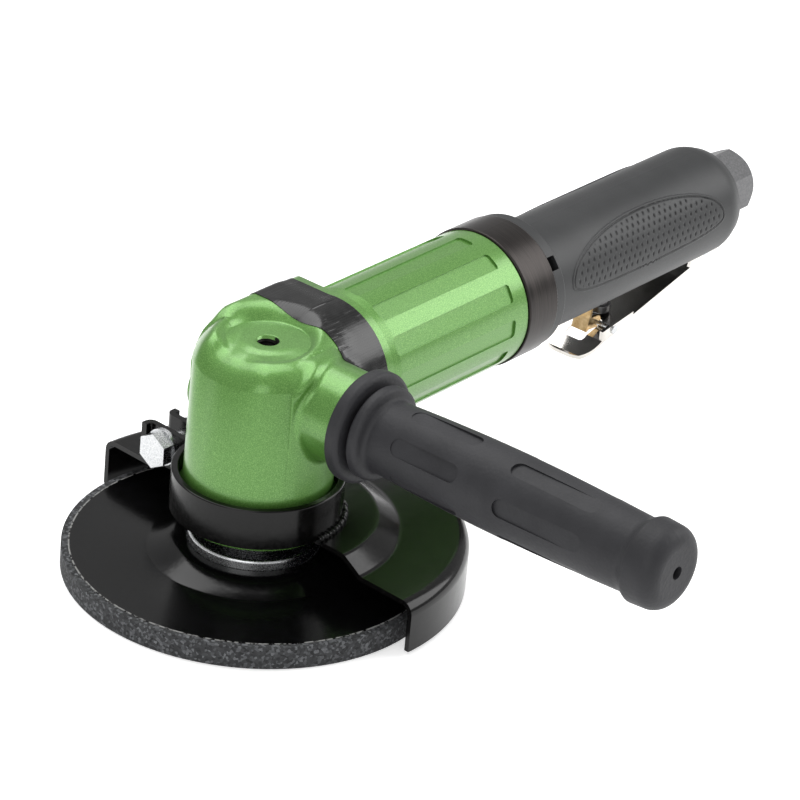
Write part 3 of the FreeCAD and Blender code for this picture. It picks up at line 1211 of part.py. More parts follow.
# ---- side handle on its stud
AT_HANDLE = ("handle_x", "0", "handle_z")
handle = newBody("handle_grip", AT_HANDLE)
revolve(handle, outline(handle, "YZ", [
    ("-boss_face_y", "0"),
    ("-boss_face_y", "grip_flange_rad", "edge_round"),
    ("-(boss_face_y + grip_flange_thick)", "grip_flange_rad", "edge_soft"),
    ("-(boss_face_y + grip_flange_thick)", "handle_neck_rad"),
    ("-step_start", "handle_neck_rad"),
    ("-step_start", "grip_step_rad", "edge_round"),
    ("-step_end", "grip_step_rad", "edge_soft"),
    ("-(step_end + edge_round)", "handle_neck_rad", "edge_soft"),
    ("-handle_mid_y", "handle_mid_rad", "handle_belly"),
    ("-(handle_knob_y - edge_round)", "handle_tail_rad", "handle_root_round"),
    ("-(handle_knob_y + knob_lip)", "handle_knob_rad", "edge_soft"),
    ("-handle_end_y", "handle_knob_rad - knob_taper", "handle_dome"),
    ("-handle_end_y", "0"),
]), "H_Axis")


def fluteSet(body, start, long, turn, floor):
    """A ring of shallow round-ended flutes along the handle, the first one turned from its top."""
    sketch = outline(body, "XY", [
        ("-handle_flute_wide / 2", f"-{start}", "handle_flute_wide / 2 * round_share"),
        ("handle_flute_wide / 2", f"-{start}", "handle_flute_wide / 2 * round_share"),
        ("handle_flute_wide / 2", f"-({start} + {long})", "handle_flute_wide / 2 * round_share"),
        ("-handle_flute_wide / 2", f"-({start} + {long})", "handle_flute_wide / 2 * round_share"),
    ])
    sketch.AttachmentOffset = FreeCAD.Placement(Vector(), FreeCAD.Rotation(Vector(0, 1, 0), 1))
    tie(sketch, "AttachmentOffset.Rotation.Angle", turn)
    tie(sketch, "AttachmentOffset.Base.x", f"{floor} * sin({turn})")
    tie(sketch, "AttachmentOffset.Base.z", f"{floor} * cos({turn})")
    ring(body, "Y_Axis", pocket(body, sketch, "2 * handle_flute_deep", back=True), "handle_flute_count")


fluteSet(handle, "handle_flute_a_y", "handle_flute_a_long", "handle_flute_a_turn", "handle_flute_a_floor")
fluteSet(handle, "handle_flute_b_y", "handle_flute_b_long", "handle_flute_b_turn", "handle_flute_b_floor")
pocket(handle, circles(handle, "XZ", [("0", "0", "handle_hole_rad")], "handle_end_y"), "handle_hole_deep")
pocket(handle, circles(handle, "XZ", [("0", "0", "stud_rad")], "boss_face_y"), "stud_core_long", back=True)

stud = newBody("handle_stud", AT_HANDLE)
pad(stud, circles(stud, "XZ", [("0", "0", "stud_rad")], "boss_face_y"), "stud_core_long")
pad(stud, circles(stud, "XZ", [("0", "0", "thread_hole_rad - slip_gap")], "boss_face_y - stud_in_deep"),
    "stud_in_deep + cut_past")


# ---- every object computed and every shape sound, then one file a sub-part
doc.recompute()
broken = [item.Name for item in doc.Objects if {"Invalid", "Error"} & set(item.State)]
broken += [label for label, item in parts.items() if item.Shape.isNull() or not item.Shape.isValid()]
if broken:
    raise SystemExit("not sound: " + ", ".join(broken))
os.makedirs("parts", exist_ok=True)
for label, item in parts.items():
    item.Shape.exportStep(f"parts/{label}.step")
    print(f"{label}: {len(item.Shape.Solids)} solid(s), {item.Shape.Volume:.1f} mm3")
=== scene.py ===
import bpy
import bmesh
import json
import math
from mathutils import Matrix, Vector, kdtree


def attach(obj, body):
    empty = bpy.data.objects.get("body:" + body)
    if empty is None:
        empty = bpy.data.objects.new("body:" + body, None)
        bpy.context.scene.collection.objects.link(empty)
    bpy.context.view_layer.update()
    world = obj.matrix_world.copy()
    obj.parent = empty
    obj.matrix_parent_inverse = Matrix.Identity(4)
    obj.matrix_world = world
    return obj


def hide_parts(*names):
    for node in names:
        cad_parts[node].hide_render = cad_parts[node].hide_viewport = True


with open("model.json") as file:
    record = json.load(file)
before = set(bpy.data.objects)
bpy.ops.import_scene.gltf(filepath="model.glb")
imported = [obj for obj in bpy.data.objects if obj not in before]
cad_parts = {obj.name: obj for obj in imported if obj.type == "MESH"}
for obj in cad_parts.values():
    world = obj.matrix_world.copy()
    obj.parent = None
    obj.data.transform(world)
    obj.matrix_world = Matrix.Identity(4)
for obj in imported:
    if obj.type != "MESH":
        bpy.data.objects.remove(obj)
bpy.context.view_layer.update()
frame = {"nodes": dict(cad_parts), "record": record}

bpy.ops.object.select_all(action="DESELECT")
mm = 0.001
motorZ = 0.0592    # height of the motor's axis
print("frame loaded:", len(frame["nodes"]), "nodes")


def linear(hexText):
    # sRGB hex to the linear colour that a shader takes
    parts = [int(hexText[i:i + 2], 16) / 255 for i in (0, 2, 4)]
    return tuple(c / 12.92 if c <= 0.04045 else ((c + 0.055) / 1.055) ** 2.4 for c in parts) + (1.0,)


def setSockets(tree, node, sockets):
    # each socket takes a value, another node's first output, or one named output
    for name, value in sockets.items():
        if isinstance(value, bpy.types.Node):
            value = value.outputs[0]
        if isinstance(value, bpy.types.NodeSocket):
            tree.links.new(value, node.inputs[name])
        else:
            node.inputs[name].default_value = value


def addNode(tree, kind, sockets=None, stops=None, **settings):
    # one node with its settings, its links and, on a ramp, its colour stops
    made = tree.nodes.new(kind)
    for name, value in settings.items():
        setattr(made, name, value)
    setSockets(tree, made, sockets or {})
    for number, (at, hexText) in enumerate(stops or []):
        element = made.color_ramp.elements[number] if number < 2 else made.color_ramp.elements.new(at)
        element.position = at
        element.color = linear(hexText)
    return made


def newMaterial(name):
    # an empty material, its shader and the object's own coordinates
    material = bpy.data.materials.new(name)
    material.use_nodes = True
    tree = material.node_tree
    tree.nodes.clear()
    shader = addNode(tree, "ShaderNodeBsdfPrincipled")
    addNode(tree, "ShaderNodeOutputMaterial", {"Surface": shader})
    return material, tree, shader, addNode(tree, "ShaderNodeTexCoord").outputs["Object"]


def perMm(size):
    # pattern scale whose grain is size millimetres across
    return 1 / (size * mm)


# metallic green stoving enamel on a die casting: broad gloss, fine aluminium flake, slight orange peel;
# the flake is really under 0.1 mm across, and is drawn coarser so that it shows
enamelLook = {"shade": "508033", "body": "5B8E3E", "flakeLight": "72A252", "flake": 0.3, "peel": 3.5}


def greenEnamel():
    material, tree, shader, place = newMaterial("greenEnamel")
    flake = addNode(tree, "ShaderNodeTexNoise", {"Vector": place, "Scale": perMm(enamelLook["flake"]), "Detail": 1.0})
    colour = addNode(tree, "ShaderNodeValToRGB", {"Fac": flake},
                     [(0.3, enamelLook["shade"]), (0.7, enamelLook["flakeLight"]), (0.5, enamelLook["body"])])
    peel = addNode(tree, "ShaderNodeTexNoise", {"Vector": place, "Scale": perMm(enamelLook["peel"])})
    ripple = addNode(tree, "ShaderNodeBump", {"Height": peel, "Distance": 0.02 * mm})
    sparkle = addNode(tree, "ShaderNodeBump", {"Height": flake, "Distance": 0.006 * mm, "Normal": ripple})
    setSockets(tree, shader, {"Base Color": colour, "Metallic": 0.45, "Roughness": 0.36, "Normal": sparkle,
                              "Coat Weight": 0.5, "Coat Roughness": 0.16})
    return material


# black gloss paint on pressed steel: near mirror, faint ripple, a little dust
glossLook = {"low": "030303", "high": "0D0C0C", "ripple": 9.0, "dust": 1.2}


def blackEnamel():
    material, tree, shader, place = newMaterial("blackEnamel")
    ripple = addNode(tree, "ShaderNodeTexNoise", {"Vector": place, "Scale": perMm(glossLook["ripple"])})
    dust = addNode(tree, "ShaderNodeTexNoise", {"Vector": place, "Scale": perMm(glossLook["dust"]), "Detail": 3.0})
    colour = addNode(tree, "ShaderNodeValToRGB", {"Fac": dust}, [(0.35, glossLook["low"]), (0.8, glossLook["high"])])
    rough = addNode(tree, "ShaderNodeMapRange", {"Value": dust, "To Min": 0.1, "To Max": 0.24})
    waves = addNode(tree, "ShaderNodeBump", {"Height": ripple, "Distance": 0.06 * mm})
    setSockets(tree, shader, {"Base Color": colour, "Roughness": rough, "Normal": waves, "Specular IOR Level": 0.28})
    return material


# black anodised aluminium, turned: satin with a brown sheen and fine rings round the motor axis
anodisedLook = {"low": "2A2726", "high": "3C3836", "ring": 0.3}


def anodisedBlack():
    material, tree, shader, place = newMaterial("anodisedBlack")
    turned = addNode(tree, "ShaderNodeMapping", {"Vector": place, "Scale": (1.0, 0.02, 0.02)})
    rings = addNode(tree, "ShaderNodeTexNoise", {"Vector": turned, "Scale": perMm(anodisedLook["ring"])})
    colour = addNode(tree, "ShaderNodeValToRGB", {"Fac": rings},
                     [(0.3, anodisedLook["low"]), (0.7, anodisedLook["high"])])
    rough = addNode(tree, "ShaderNodeMapRange", {"Value": rings, "To Min": 0.26, "To Max": 0.4})
    lines = addNode(tree, "ShaderNodeBump", {"Height": rings, "Distance": 0.008 * mm})
    setSockets(tree, shader, {"Base Color": colour, "Metallic": 0.8, "Roughness": rough, "Normal": lines})
    return material


# glass-filled nylon from a spark-eroded mould: matte charcoal, fine even grain; painted shade darkens the pits and the
# groove by the piece's attribute
nylonLook = {"low": "222324", "high": "2B2C2D", "shadedPit": "0A0A0A", "grain": 0.45, "cloud": 14.0}


def gripNylon(name, withPitShade=False):
    material, tree, shader, place = newMaterial(name)
    grain = addNode(tree, "ShaderNodeTexNoise", {"Vector": place, "Scale": perMm(nylonLook["grain"]), "Detail": 3.0})
    cloud = addNode(tree, "ShaderNodeTexNoise", {"Vector": place, "Scale": perMm(nylonLook["cloud"])})
    colour = addNode(tree, "ShaderNodeValToRGB", {"Fac": cloud}, [(0.3, nylonLook["low"]), (0.7, nylonLook["high"])])
    if withPitShade:
        # painted shade: pits and groove blend towards near black by this attribute
        depth = addNode(tree, "ShaderNodeAttribute", attribute_name="pitDepthAndShade").outputs["Fac"]
        colour = addNode(tree, "ShaderNodeMixRGB",
                         {"Fac": depth, "Color1": colour, "Color2": linear(nylonLook["shadedPit"])})
    rough = addNode(tree, "ShaderNodeMapRange", {"Value": grain, "To Min": 0.4, "To Max": 0.56})
    skin = addNode(tree, "ShaderNodeBump", {"Height": grain, "Distance": 0.02 * mm})
    setSockets(tree, shader, {"Base Color": colour, "Roughness": rough, "Normal": skin})
    return material


# moulded rubber, leathery grain: charcoal with a low sheen
rubberLook = {"low": "242427", "high": "2D2D30", "cell": 1.1, "grain": 0.6}


def handleRubber():
    material, tree, shader, place = newMaterial("handleRubber")
    cells = addNode(tree, "ShaderNodeTexVoronoi", {"Vector": place, "Scale": perMm(rubberLook["cell"])},
                    feature="SMOOTH_F1")
    grain = addNode(tree, "ShaderNodeTexNoise", {"Vector": place, "Scale": perMm(rubberLook["grain"]), "Detail": 3.0})
    cloud = addNode(tree, "ShaderNodeTexNoise", {"Vector": place, "Scale": perMm(12.0)})
    colour = addNode(tree, "ShaderNodeValToRGB", {"Fac": cloud}, [(0.3, rubberLook["low"]), (0.7, rubberLook["high"])])
    rough = addNode(tree, "ShaderNodeMapRange", {"Value": grain, "To Min": 0.5, "To Max": 0.64})
    fine = addNode(tree, "ShaderNodeBump", {"Height": grain, "Distance": 0.02 * mm})
    leather = addNode(tree, "ShaderNodeBump", {"Height": cells, "Distance": 0.06 * mm, "Normal": fine})
    setSockets(tree, shader, {"Base Color": colour, "Roughness": rough, "Normal": leather, "Specular IOR Level": 0.35})
    return material


# bare and plated metals: the two ends of the colour, the roughness range, grain size, depth and stretch
metalLooks = {
    "bright_chrome": {"name": "brightChrome", "tones": ("C9C5BF", "DEDBD7"), "rough": (0.07, 0.14), "grain": 7.0,
                      "depth": 0.02, "stretch": (1.0, 1.0, 1.0)},
    "bright_zinc": {"name": "brightZinc", "tones": ("B9BBBD", "D8D9DA"), "rough": (0.2, 0.34), "grain": 0.6,
                    "depth": 0.012, "stretch": (1.0, 1.0, 1.0)},
    "yellow_zinc": {"name": "yellowZinc", "tones": ("A98A5C", "CDB48A"), "rough": (0.22, 0.4), "grain": 1.5,
                    "depth": 0.01, "stretch": (1.0, 1.0, 1.0)},
    "black_oxide": {"name": "blackOxideSteel", "tones": ("5C5C5D", "707071"), "rough": (0.34, 0.48), "grain": 0.7,
                    "depth": 0.01, "stretch": (1.0, 1.0, 1.0)},
    "ground_steel": {"name": "groundSteel", "tones": ("8E8F91", "B4B5B7"), "rough": (0.2, 0.34), "grain": 0.3,
                     "depth": 0.01, "stretch": (1.0, 1.0, 0.05)},
    "bearing_steel": {"name": "bearingSteel", "tones": ("A8A9AB", "C0C1C3"), "rough": (0.12, 0.2), "grain": 0.5,
                      "depth": 0.004, "stretch": (1.0, 1.0, 1.0)},
    "liner_iron": {"name": "linerIron", "tones": ("5A5A5C", "707072"), "rough": (0.35, 0.5), "grain": 0.6,
                   "depth": 0.02, "stretch": (1.0, 1.0, 1.0)},
    "alloy_plate": {"name": "alloyPlate", "tones": ("9C9EA0", "BDBEC0"), "rough": (0.28, 0.42), "grain": 0.4,
                    "depth": 0.01, "stretch": (1.0, 1.0, 1.0)},
}


def plainMetal(look):
    material, tree, shader, place = newMaterial(look["name"])
    drawn = addNode(tree, "ShaderNodeMapping", {"Vector": place, "Scale": look["stretch"]})
    grain = addNode(tree, "ShaderNodeTexNoise", {"Vector": drawn, "Scale": perMm(look["grain"]), "Detail": 3.0})
    colour = addNode(tree, "ShaderNodeValToRGB", {"Fac": grain}, [(0.3, look["tones"][0]), (0.7, look["tones"][1])])
    rough = addNode(tree, "ShaderNodeMapRange", {"Value": grain, "To Min": look["rough"][0],
                                                 "To Max": look["rough"][1]})
    skin = addNode(tree, "ShaderNodeBump", {"Height": grain, "Distance": look["depth"] * mm})
    setSockets(tree, shader, {"Base Color": colour, "Metallic": 1.0, "Roughness": rough, "Normal": skin})
    return material


# resin-bonded abrasive: dark grey grit, rough all over
gritLook = {"dark": "1E1F20", "mid": "3E3F41", "light": "75777A", "grain": 0.8, "lump": 1.4}


def bondedAbrasive():
    material, tree, shader, place = newMaterial("bondedAbrasive")
    grit = addNode(tree, "ShaderNodeTexVoronoi", {"Vector": place, "Scale": perMm(gritLook["grain"])}).outputs["Color"]
    lump = addNode(tree, "ShaderNodeTexNoise", {"Vector": place, "Scale": perMm(gritLook["lump"]), "Detail": 4.0,
                                                "Roughness": 0.7})
    colour = addNode(tree, "ShaderNodeValToRGB", {"Fac": grit},
                     [(0.1, gritLook["dark"]), (0.95, gritLook["light"]), (0.6, gritLook["mid"])])
    pits = addNode(tree, "ShaderNodeBump", {"Height": grit, "Distance": 0.25 * mm})
    rough = addNode(tree, "ShaderNodeBump", {"Height": lump, "Distance": 0.5 * mm, "Normal": pits})
    setSockets(tree, shader, {"Base Color": colour, "Roughness": 0.85, "Normal": rough})
    return material


# printed paper and lacquer disc: glossy black, with a painted highlight as a thin pale ring along its cut edge, broken
# up by noise
labelLook = {"ink": "050505", "inkDust": "0C0C0E", "edgeHighlight": "9A9A98", "edgeRadius": 55.2, "edgeFade": 0.35,
             "breakup": 1.6}


def lacqueredPaper():
    material, tree, shader, place = newMaterial("lacqueredPaper")
    dust = addNode(tree, "ShaderNodeTexNoise", {"Vector": place, "Scale": perMm(1.6), "Detail": 4.0})
    ink = addNode(tree, "ShaderNodeValToRGB", {"Fac": dust}, [(0.35, labelLook["ink"]), (0.85, labelLook["inkDust"])])
    flat = addNode(tree, "ShaderNodeVectorMath", {0: place, 1: (1.0, 1.0, 0.0)}, operation="MULTIPLY")
    radius = addNode(tree, "ShaderNodeVectorMath", {0: flat}, operation="LENGTH").outputs["Value"]
    # painted highlight: a pale ring at the outer edge, in gaps set by noise, also rougher there
    rim = addNode(tree, "ShaderNodeMapRange", {"Value": radius,
                                               "From Min": (labelLook["edgeRadius"] - labelLook["edgeFade"]) * mm,
                                               "From Max": labelLook["edgeRadius"] * mm})
    breakupNoise = addNode(tree, "ShaderNodeTexNoise", {"Vector": place, "Scale": perMm(labelLook["breakup"]), "Detail": 3.0})
    lineShows = addNode(tree, "ShaderNodeMapRange", {"Value": breakupNoise, "From Min": 0.42, "From Max": 0.55})
    paintedEdgeHighlight = addNode(tree, "ShaderNodeMath", {0: rim, 1: lineShows}, operation="MULTIPLY")
    colour = addNode(tree, "ShaderNodeMixRGB", {"Fac": paintedEdgeHighlight, "Color1": ink, "Color2": linear(labelLook["edgeHighlight"])})
    rough = addNode(tree, "ShaderNodeMapRange", {"Value": paintedEdgeHighlight, "To Min": 0.16, "To Max": 0.8})
    weave = addNode(tree, "ShaderNodeBump", {"Height": dust, "Distance": 0.03 * mm})
    setSockets(tree, shader, {"Base Color": colour, "Roughness": rough, "Normal": weave, "Specular IOR Level": 0.3})
    return material


# glossy black vinyl band, slightly scuffed
vinylLook = {"low": "080808", "high": "1A1A1A", "scuff": 2.5}


def blackVinyl():
    material, tree, shader, place = newMaterial("blackVinyl")
    scuff = addNode(tree, "ShaderNodeTexNoise", {"Vector": place, "Scale": perMm(vinylLook["scuff"]), "Detail": 5.0})
    colour = addNode(tree, "ShaderNodeValToRGB", {"Fac": scuff}, [(0.4, vinylLook["low"]), (0.8, vinylLook["high"])])
    rough = addNode(tree, "ShaderNodeMapRange", {"Value": scuff, "To Min": 0.14, "To Max": 0.32})
    skin = addNode(tree, "ShaderNodeBump", {"Height": scuff, "Distance": 0.02 * mm})
    setSockets(tree, shader, {"Base Color": colour, "Roughness": rough, "Normal": skin})
    return material


finishes = {slot: plainMetal(look) for slot, look in metalLooks.items()}
finishes.update({
    "green_enamel": greenEnamel(),
    "black_enamel": blackEnamel(),
    "anodised_collar": anodisedBlack(),
    "grip_nylon": gripNylon("gripNylon"),
    "handle_rubber": handleRubber(),
    "bonded_abrasive": bondedAbrasive(),
})
pitShadedNylon = gripNylon("pitShadedNylon", withPitShade=True)


def mouldedPlastic(name, low, high):
    # plain moulded plastic or laminate with a soft mottle
    material, tree, shader, place = newMaterial(name)
    mottle = addNode(tree, "ShaderNodeTexNoise", {"Vector": place, "Scale": perMm(0.8), "Detail": 3.0})
    colour = addNode(tree, "ShaderNodeValToRGB", {"Fac": mottle}, [(0.3, low), (0.7, high)])
    skin = addNode(tree, "ShaderNodeBump", {"Height": mottle, "Distance": 0.02 * mm})
    setSockets(tree, shader, {"Base Color": colour, "Roughness": 0.45, "Normal": skin})
    return material


finishes["vane_phenolic"] = mouldedPlastic("phenolicCloth", "5A3A22", "7A5230")   # woven cloth in phenolic resin
finishes["seal_white"] = mouldedPlastic("sealNylon", "B9B7B0", "CBC9C3")         # natural nylon seal
nodeSlots = {row["node"]: row["material_slot"] for row in frame["record"]["subparts"]}
for nodeName, node in frame["nodes"].items():
    node.data.materials.clear()
    node.data.materials.append(finishes[nodeSlots[nodeName]])
print("materials set")


def pickOnly(piece):
    # selects the piece alone and makes it the active one
    bpy.ops.object.select_all(action="DESELECT")
    piece.select_set(True)
    bpy.context.view_layer.objects.active = piece


def finishPiece(piece, name, material, body, smooth):
    # place goes into the mesh, then the finish and the body it rides on
    pickOnly(piece)
    bpy.ops.object.transform_apply(location=True, rotation=True, scale=True)
    for modifier in list(piece.modifiers):
        bpy.ops.object.modifier_apply(modifier=modifier.name)
    bpy.ops.object.shade_smooth_by_angle(angle=math.radians(smooth))
    piece.name = name
    piece.data.name = name
    piece.data.materials.clear()
    piece.data.materials.append(material)
    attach(piece, body)
    piece.select_set(False)


def keepOnly(piece, wanted):
    # deletes the faces whose centre fails the test
    mesh = bmesh.new()
    mesh.from_mesh(piece.data)
    unwanted = [face for face in mesh.faces if not wanted(face.calc_center_median())]
    bmesh.ops.delete(mesh, geom=unwanted, context="FACES")
    mesh.to_mesh(piece.data)
    mesh.free()


def mergedCopy(nodeName):
    # a welded copy of a CAD node, to lay pieces on
    piece = frame["nodes"][nodeName].copy()
    piece.data = piece.data.copy()
    bpy.context.collection.objects.link(piece)
    piece.parent = None
    mesh = bmesh.new()
    mesh.from_mesh(piece.data)
    bmesh.ops.remove_doubles(mesh, verts=mesh.verts, dist=0.001 * mm)
    mesh.to_mesh(piece.data)
    mesh.free()
    return piece


# the gear head: the CAD casting with its top run out to a broad soft shoulder, and a shallow dish in its side
casting = {"radius": 22.5, "top": 77.3, "shoulder": 10.5, "front": -7.0, "frontRound": 14.0, "side": 20.5,
           "sideRound": 3.0, "blockTop": 81.2, "domeRadius": 21.0, "domeTopRound": 12.0, "domeSide": 9.0,
           "domeRound": 4.5, "leftShoulder": 5.5, "neck": 21.7, "boss": (5.7, 61.0, 14.5), "farBoss": (2.0, 54.0, 9.5),
           "recess": 12.5, "recessLean": 1.1, "melt": 6.0, "bossMelt": 3.0, "recessMelt": 2.5, "neckRound": 5.0,
           "dish": 0.9, "dishTurn": -131.0, "dishHalf": 11.0, "dishLow": 58.0, "dishHigh": 71.0,
           "leftTurns": (70, 120, 185, 225), "dishFade": (6.0, 3.0), "footFade": (55.0, 62.0),
           "rearFade": (24.0, 30.8), "holeFade": (6.0, 9.0), "bossFade": (2.0, 5.0), "bossStart": 15.0,
           "cell": 0.9, "rounds": 12, "wall": 3.2, "lowest": 54.0, "rearmost": 31.2, "steps": 4, "leastSlope": 0.3}


def rounded(across, along, radius):
    # distance to a quarter-round corner of that radius
    return math.hypot(max(across + radius, 0), max(along + radius, 0)) + min(max(across, along) + radius, 0) - radius


def melted(first, second, width):
    # the lower of two distances, with a fillet of about that width between them
    share = max(width - abs(first - second), 0) / width
    return min(first, second) - share * share * width / 4


def fadeIn(value, low, high):
    share = min(1.0, max(0.0, (value - low) / (high - low)))
    return share * share * (3 - 2 * share)


def castDistance(x, y, z):
    # signed distance in millimetres from the outside of the head, above its foot
    out = math.hypot(x, y)
    around = math.degrees(math.atan2(y, x)) % 360
    leftTurns = casting["leftTurns"]
    leftShare = fadeIn(around, *leftTurns[:2]) * (1 - fadeIn(around, *leftTurns[2:]))
    head = rounded(out - casting["radius"], z - casting["top"],
                   casting["shoulder"] + casting["leftShoulder"] * leftShare)
    block = max(rounded(casting["front"] - x, z - casting["blockTop"], casting["frontRound"]),
                rounded(y - casting["side"], z - casting["blockTop"], casting["sideRound"]), -y)
    dome = rounded(out - casting["domeRadius"], z - casting["blockTop"], casting["domeTopRound"])
    dome = rounded(casting["domeSide"] - y, dome, casting["domeRound"])
    neck = rounded(math.hypot(y, z - motorZ / mm) - casting["neck"], -x, casting["neckRound"])
    shape = melted(head, min(block, dome, neck), casting["melt"])
    for name, inward in (("boss", y), ("farBoss", -y)):
        bossX, bossZ, bossRadius = casting[name]
        bossWall = math.hypot(x - bossX, z - bossZ) - bossRadius
        shape = melted(shape, max(bossWall, inward), casting["bossMelt"])
    cut = max(out - casting["recess"] - (z - casting["top"]) * casting["recessLean"], casting["top"] - z)
    shape = -melted(-shape, cut, casting["recessMelt"])
    turn = abs(math.degrees(math.atan2(y, x)) - casting["dishTurn"])
    dishSide = 1 - fadeIn(turn, 0.55 * casting["dishHalf"], casting["dishHalf"])
    dishFoot = fadeIn(z, casting["dishLow"], casting["dishLow"] + casting["dishFade"][0])
    dishHead = 1 - fadeIn(z, casting["dishHigh"] - casting["dishFade"][1], casting["dishHigh"])
    return shape + dishSide * dishFoot * dishHead * casting["dish"]


def castShare(x, y, z):
    # how far a point may be moved: none at the foot, band, bosses and threaded holes
    share = fadeIn(z, *casting["footFade"]) * (1 - fadeIn(x, *casting["rearFade"]))
    share *= fadeIn(math.hypot(x, y), *casting["holeFade"])
    if abs(y) > casting["bossStart"]:
        bossX, bossZ, bossRadius = casting["boss" if y < 0 else "farBoss"]
        share *= fadeIn(math.hypot(x - bossX, z - bossZ) - bossRadius, *casting["bossFade"])
    return share


nudgeSize = 0.01
nudges = [Vector((nudgeSize, 0, 0)), Vector((0, nudgeSize, 0)), Vector((0, 0, nudgeSize))]


def onTop(point):
    # true on the outside of the head's upper part, and not on the walls inside it
    return (point.z > casting["lowest"] and point.x < casting["rearmost"]
            and castDistance(*point) > -casting["wall"])


def softenCasting(piece):
    # divides the long edges outside, then draws the points onto the soft shape
    mesh = bmesh.new()
    mesh.from_mesh(piece.data)
    for division in range(casting["rounds"]):
        longEdges = []
        for edge in mesh.edges:
            if edge.calc_length() > casting["cell"] * mm:
                if onTop((edge.verts[0].co + edge.verts[1].co) / 2 / mm):
                    longEdges.append(edge)
        if not longEdges:
            break
        bmesh.ops.subdivide_edges(mesh, edges=longEdges, cuts=1)
        bmesh.ops.triangulate(mesh, faces=[face for face in mesh.faces if len(face.verts) > 3])
    for vert in mesh.verts:
        x, y, z = vert.co / mm
        share = castShare(x, y, z)
        if share == 0 or castDistance(x, y, z) < -casting["wall"]:
            continue
        place = Vector((x, y, z))
        for step in range(casting["steps"]):
            here = castDistance(*place)
            slope = Vector([castDistance(*(place + nudge)) - here for nudge in nudges]) / nudgeSize
            place -= slope * here / max(slope.length_squared, casting["leastSlope"])
        vert.co = (Vector((x, y, z)) * (1 - share) + place * share) * mm
    mesh.to_mesh(piece.data)
    mesh.free()


headCasting = mergedCopy("gear_housing")
softenCasting(headCasting)
finishPiece(headCasting, "headCasting", finishes["green_enamel"], "body", 32)
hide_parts("gear_housing")
print("gear head made:", len(headCasting.data.polygons), "faces")


# the black band round the neck and over the block: a tube shrunk onto the casting
band = {"front": 14.0, "rear": 31.0, "tubeRadius": 34.0, "lift": 0.12, "thick": 0.12, "nearEnd": 9.0, "farEnd": 12.0,
        "bossX": 5.7, "bossZ": 61.0, "bossClear": 16.5, "around": 160, "cuts": 9}
bpy.ops.mesh.primitive_cylinder_add(vertices=band["around"], radius=band["tubeRadius"] * mm, end_fill_type="NOTHING",
                                    depth=(band["rear"] - band["front"]) * mm, rotation=(0, math.pi / 2, 0),
                                    location=((band["front"] + band["rear"]) / 2 * mm, 0, motorZ))
neckBand = bpy.context.object
bpy.ops.object.transform_apply(location=True, rotation=True, scale=True)
bpy.ops.object.mode_set(mode="EDIT")
bpy.ops.mesh.select_all(action="SELECT")
bpy.ops.mesh.subdivide(number_cuts=band["cuts"])
bpy.ops.object.mode_set(mode="OBJECT")
shrink = neckBand.modifiers.new("shrink", "SHRINKWRAP")
shrink.target = headCasting
shrink.wrap_method = "PROJECT"
shrink.use_negative_direction = True
shrink.use_positive_direction = False
shrink.offset = band["lift"] * mm


def onBand(centre):
    angle = math.degrees(math.atan2(centre.z - motorZ, abs(centre.y)))
    fromBoss = math.hypot(centre.x / mm - band["bossX"], centre.z / mm - band["bossZ"])
    if centre.y < 0:
        return angle > band["nearEnd"] and fromBoss > band["bossClear"]
    return angle > band["farEnd"]


keepOnly(neckBand, onBand)
bpy.context.view_layer.objects.active = neckBand
bpy.ops.object.modifier_apply(modifier="shrink")
sheet = neckBand.modifiers.new("sheet", "SOLIDIFY")
sheet.thickness = band["thick"] * mm
sheet.offset = 1.0
finishPiece(neckBand, "neckBand", blackVinyl(), "body", 40)
print("band made")


# the lacquered paper disc on the wheel, from near the rim up the raised centre
label = {"thick": 0.15, "rings": [(55.4, 7.0), (32.2, 7.0), (31.3, 7.22), (28.85, 8.42), (26.5, 9.45), (24.5, 10.5),
                                  (23.9, 10.62), (20.25, 10.64)], "around": 288, "gap": 0.02}
bpy.ops.mesh.primitive_circle_add(vertices=label["around"], radius=label["rings"][0][0] * mm,
                                  location=(0, 0, (label["rings"][0][1] + label["gap"]) * mm))
wheelLabel = bpy.context.object
bpy.ops.object.transform_apply(location=True, rotation=True, scale=True)
bpy.ops.object.mode_set(mode="EDIT")
bpy.ops.mesh.select_all(action="SELECT")
for (radius, height), (nextRadius, nextHeight) in zip(label["rings"], label["rings"][1:]):
    bpy.ops.mesh.extrude_edges_move(TRANSFORM_OT_translate={"value": (0, 0, (nextHeight - height) * mm)})
    bpy.ops.transform.resize(value=(nextRadius / radius, nextRadius / radius, 1), center_override=(0, 0, 0))
bpy.ops.mesh.select_all(action="SELECT")
bpy.ops.mesh.normals_make_consistent(inside=False)
bpy.ops.object.mode_set(mode="OBJECT")
paper = wheelLabel.modifiers.new("paper", "SOLIDIFY")
paper.thickness = label["thick"] * mm
paper.offset = 1.0
finishPiece(wheelLabel, "wheelLabel", lacqueredPaper(), "spindle", 50)
print("label made")


# the grooved oval pad on each side of the grip, with its rows of pits; its pits and groove carry painted shade
pad = {"centreX": 165.2, "centreAngle": 78.0, "halfLong": 40.8, "up": 44.5, "down": 18.5, "downPower": 3.0,
       "radius": 18.46, "axisDrop": 1.2, "cell": 0.3, "lift": 0.32, "sunk": -0.25, "lip": 0.9, "groove": 0.55,
       "pitRow": 2.3, "pitPitch": 2.85, "pitWide": 0.42, "pitTall": 0.85, "pitMargin": 2.2, "tilt": 0.18,
       "lipRise": 0.45, "pitDeep": 0.42, "pitSteep": 1.6, "grooveShade": 0.55, "skirt": 0.7, "margin": 1.0}
padArc = math.radians(1) * pad["radius"]    # millimetres round the grip for one degree


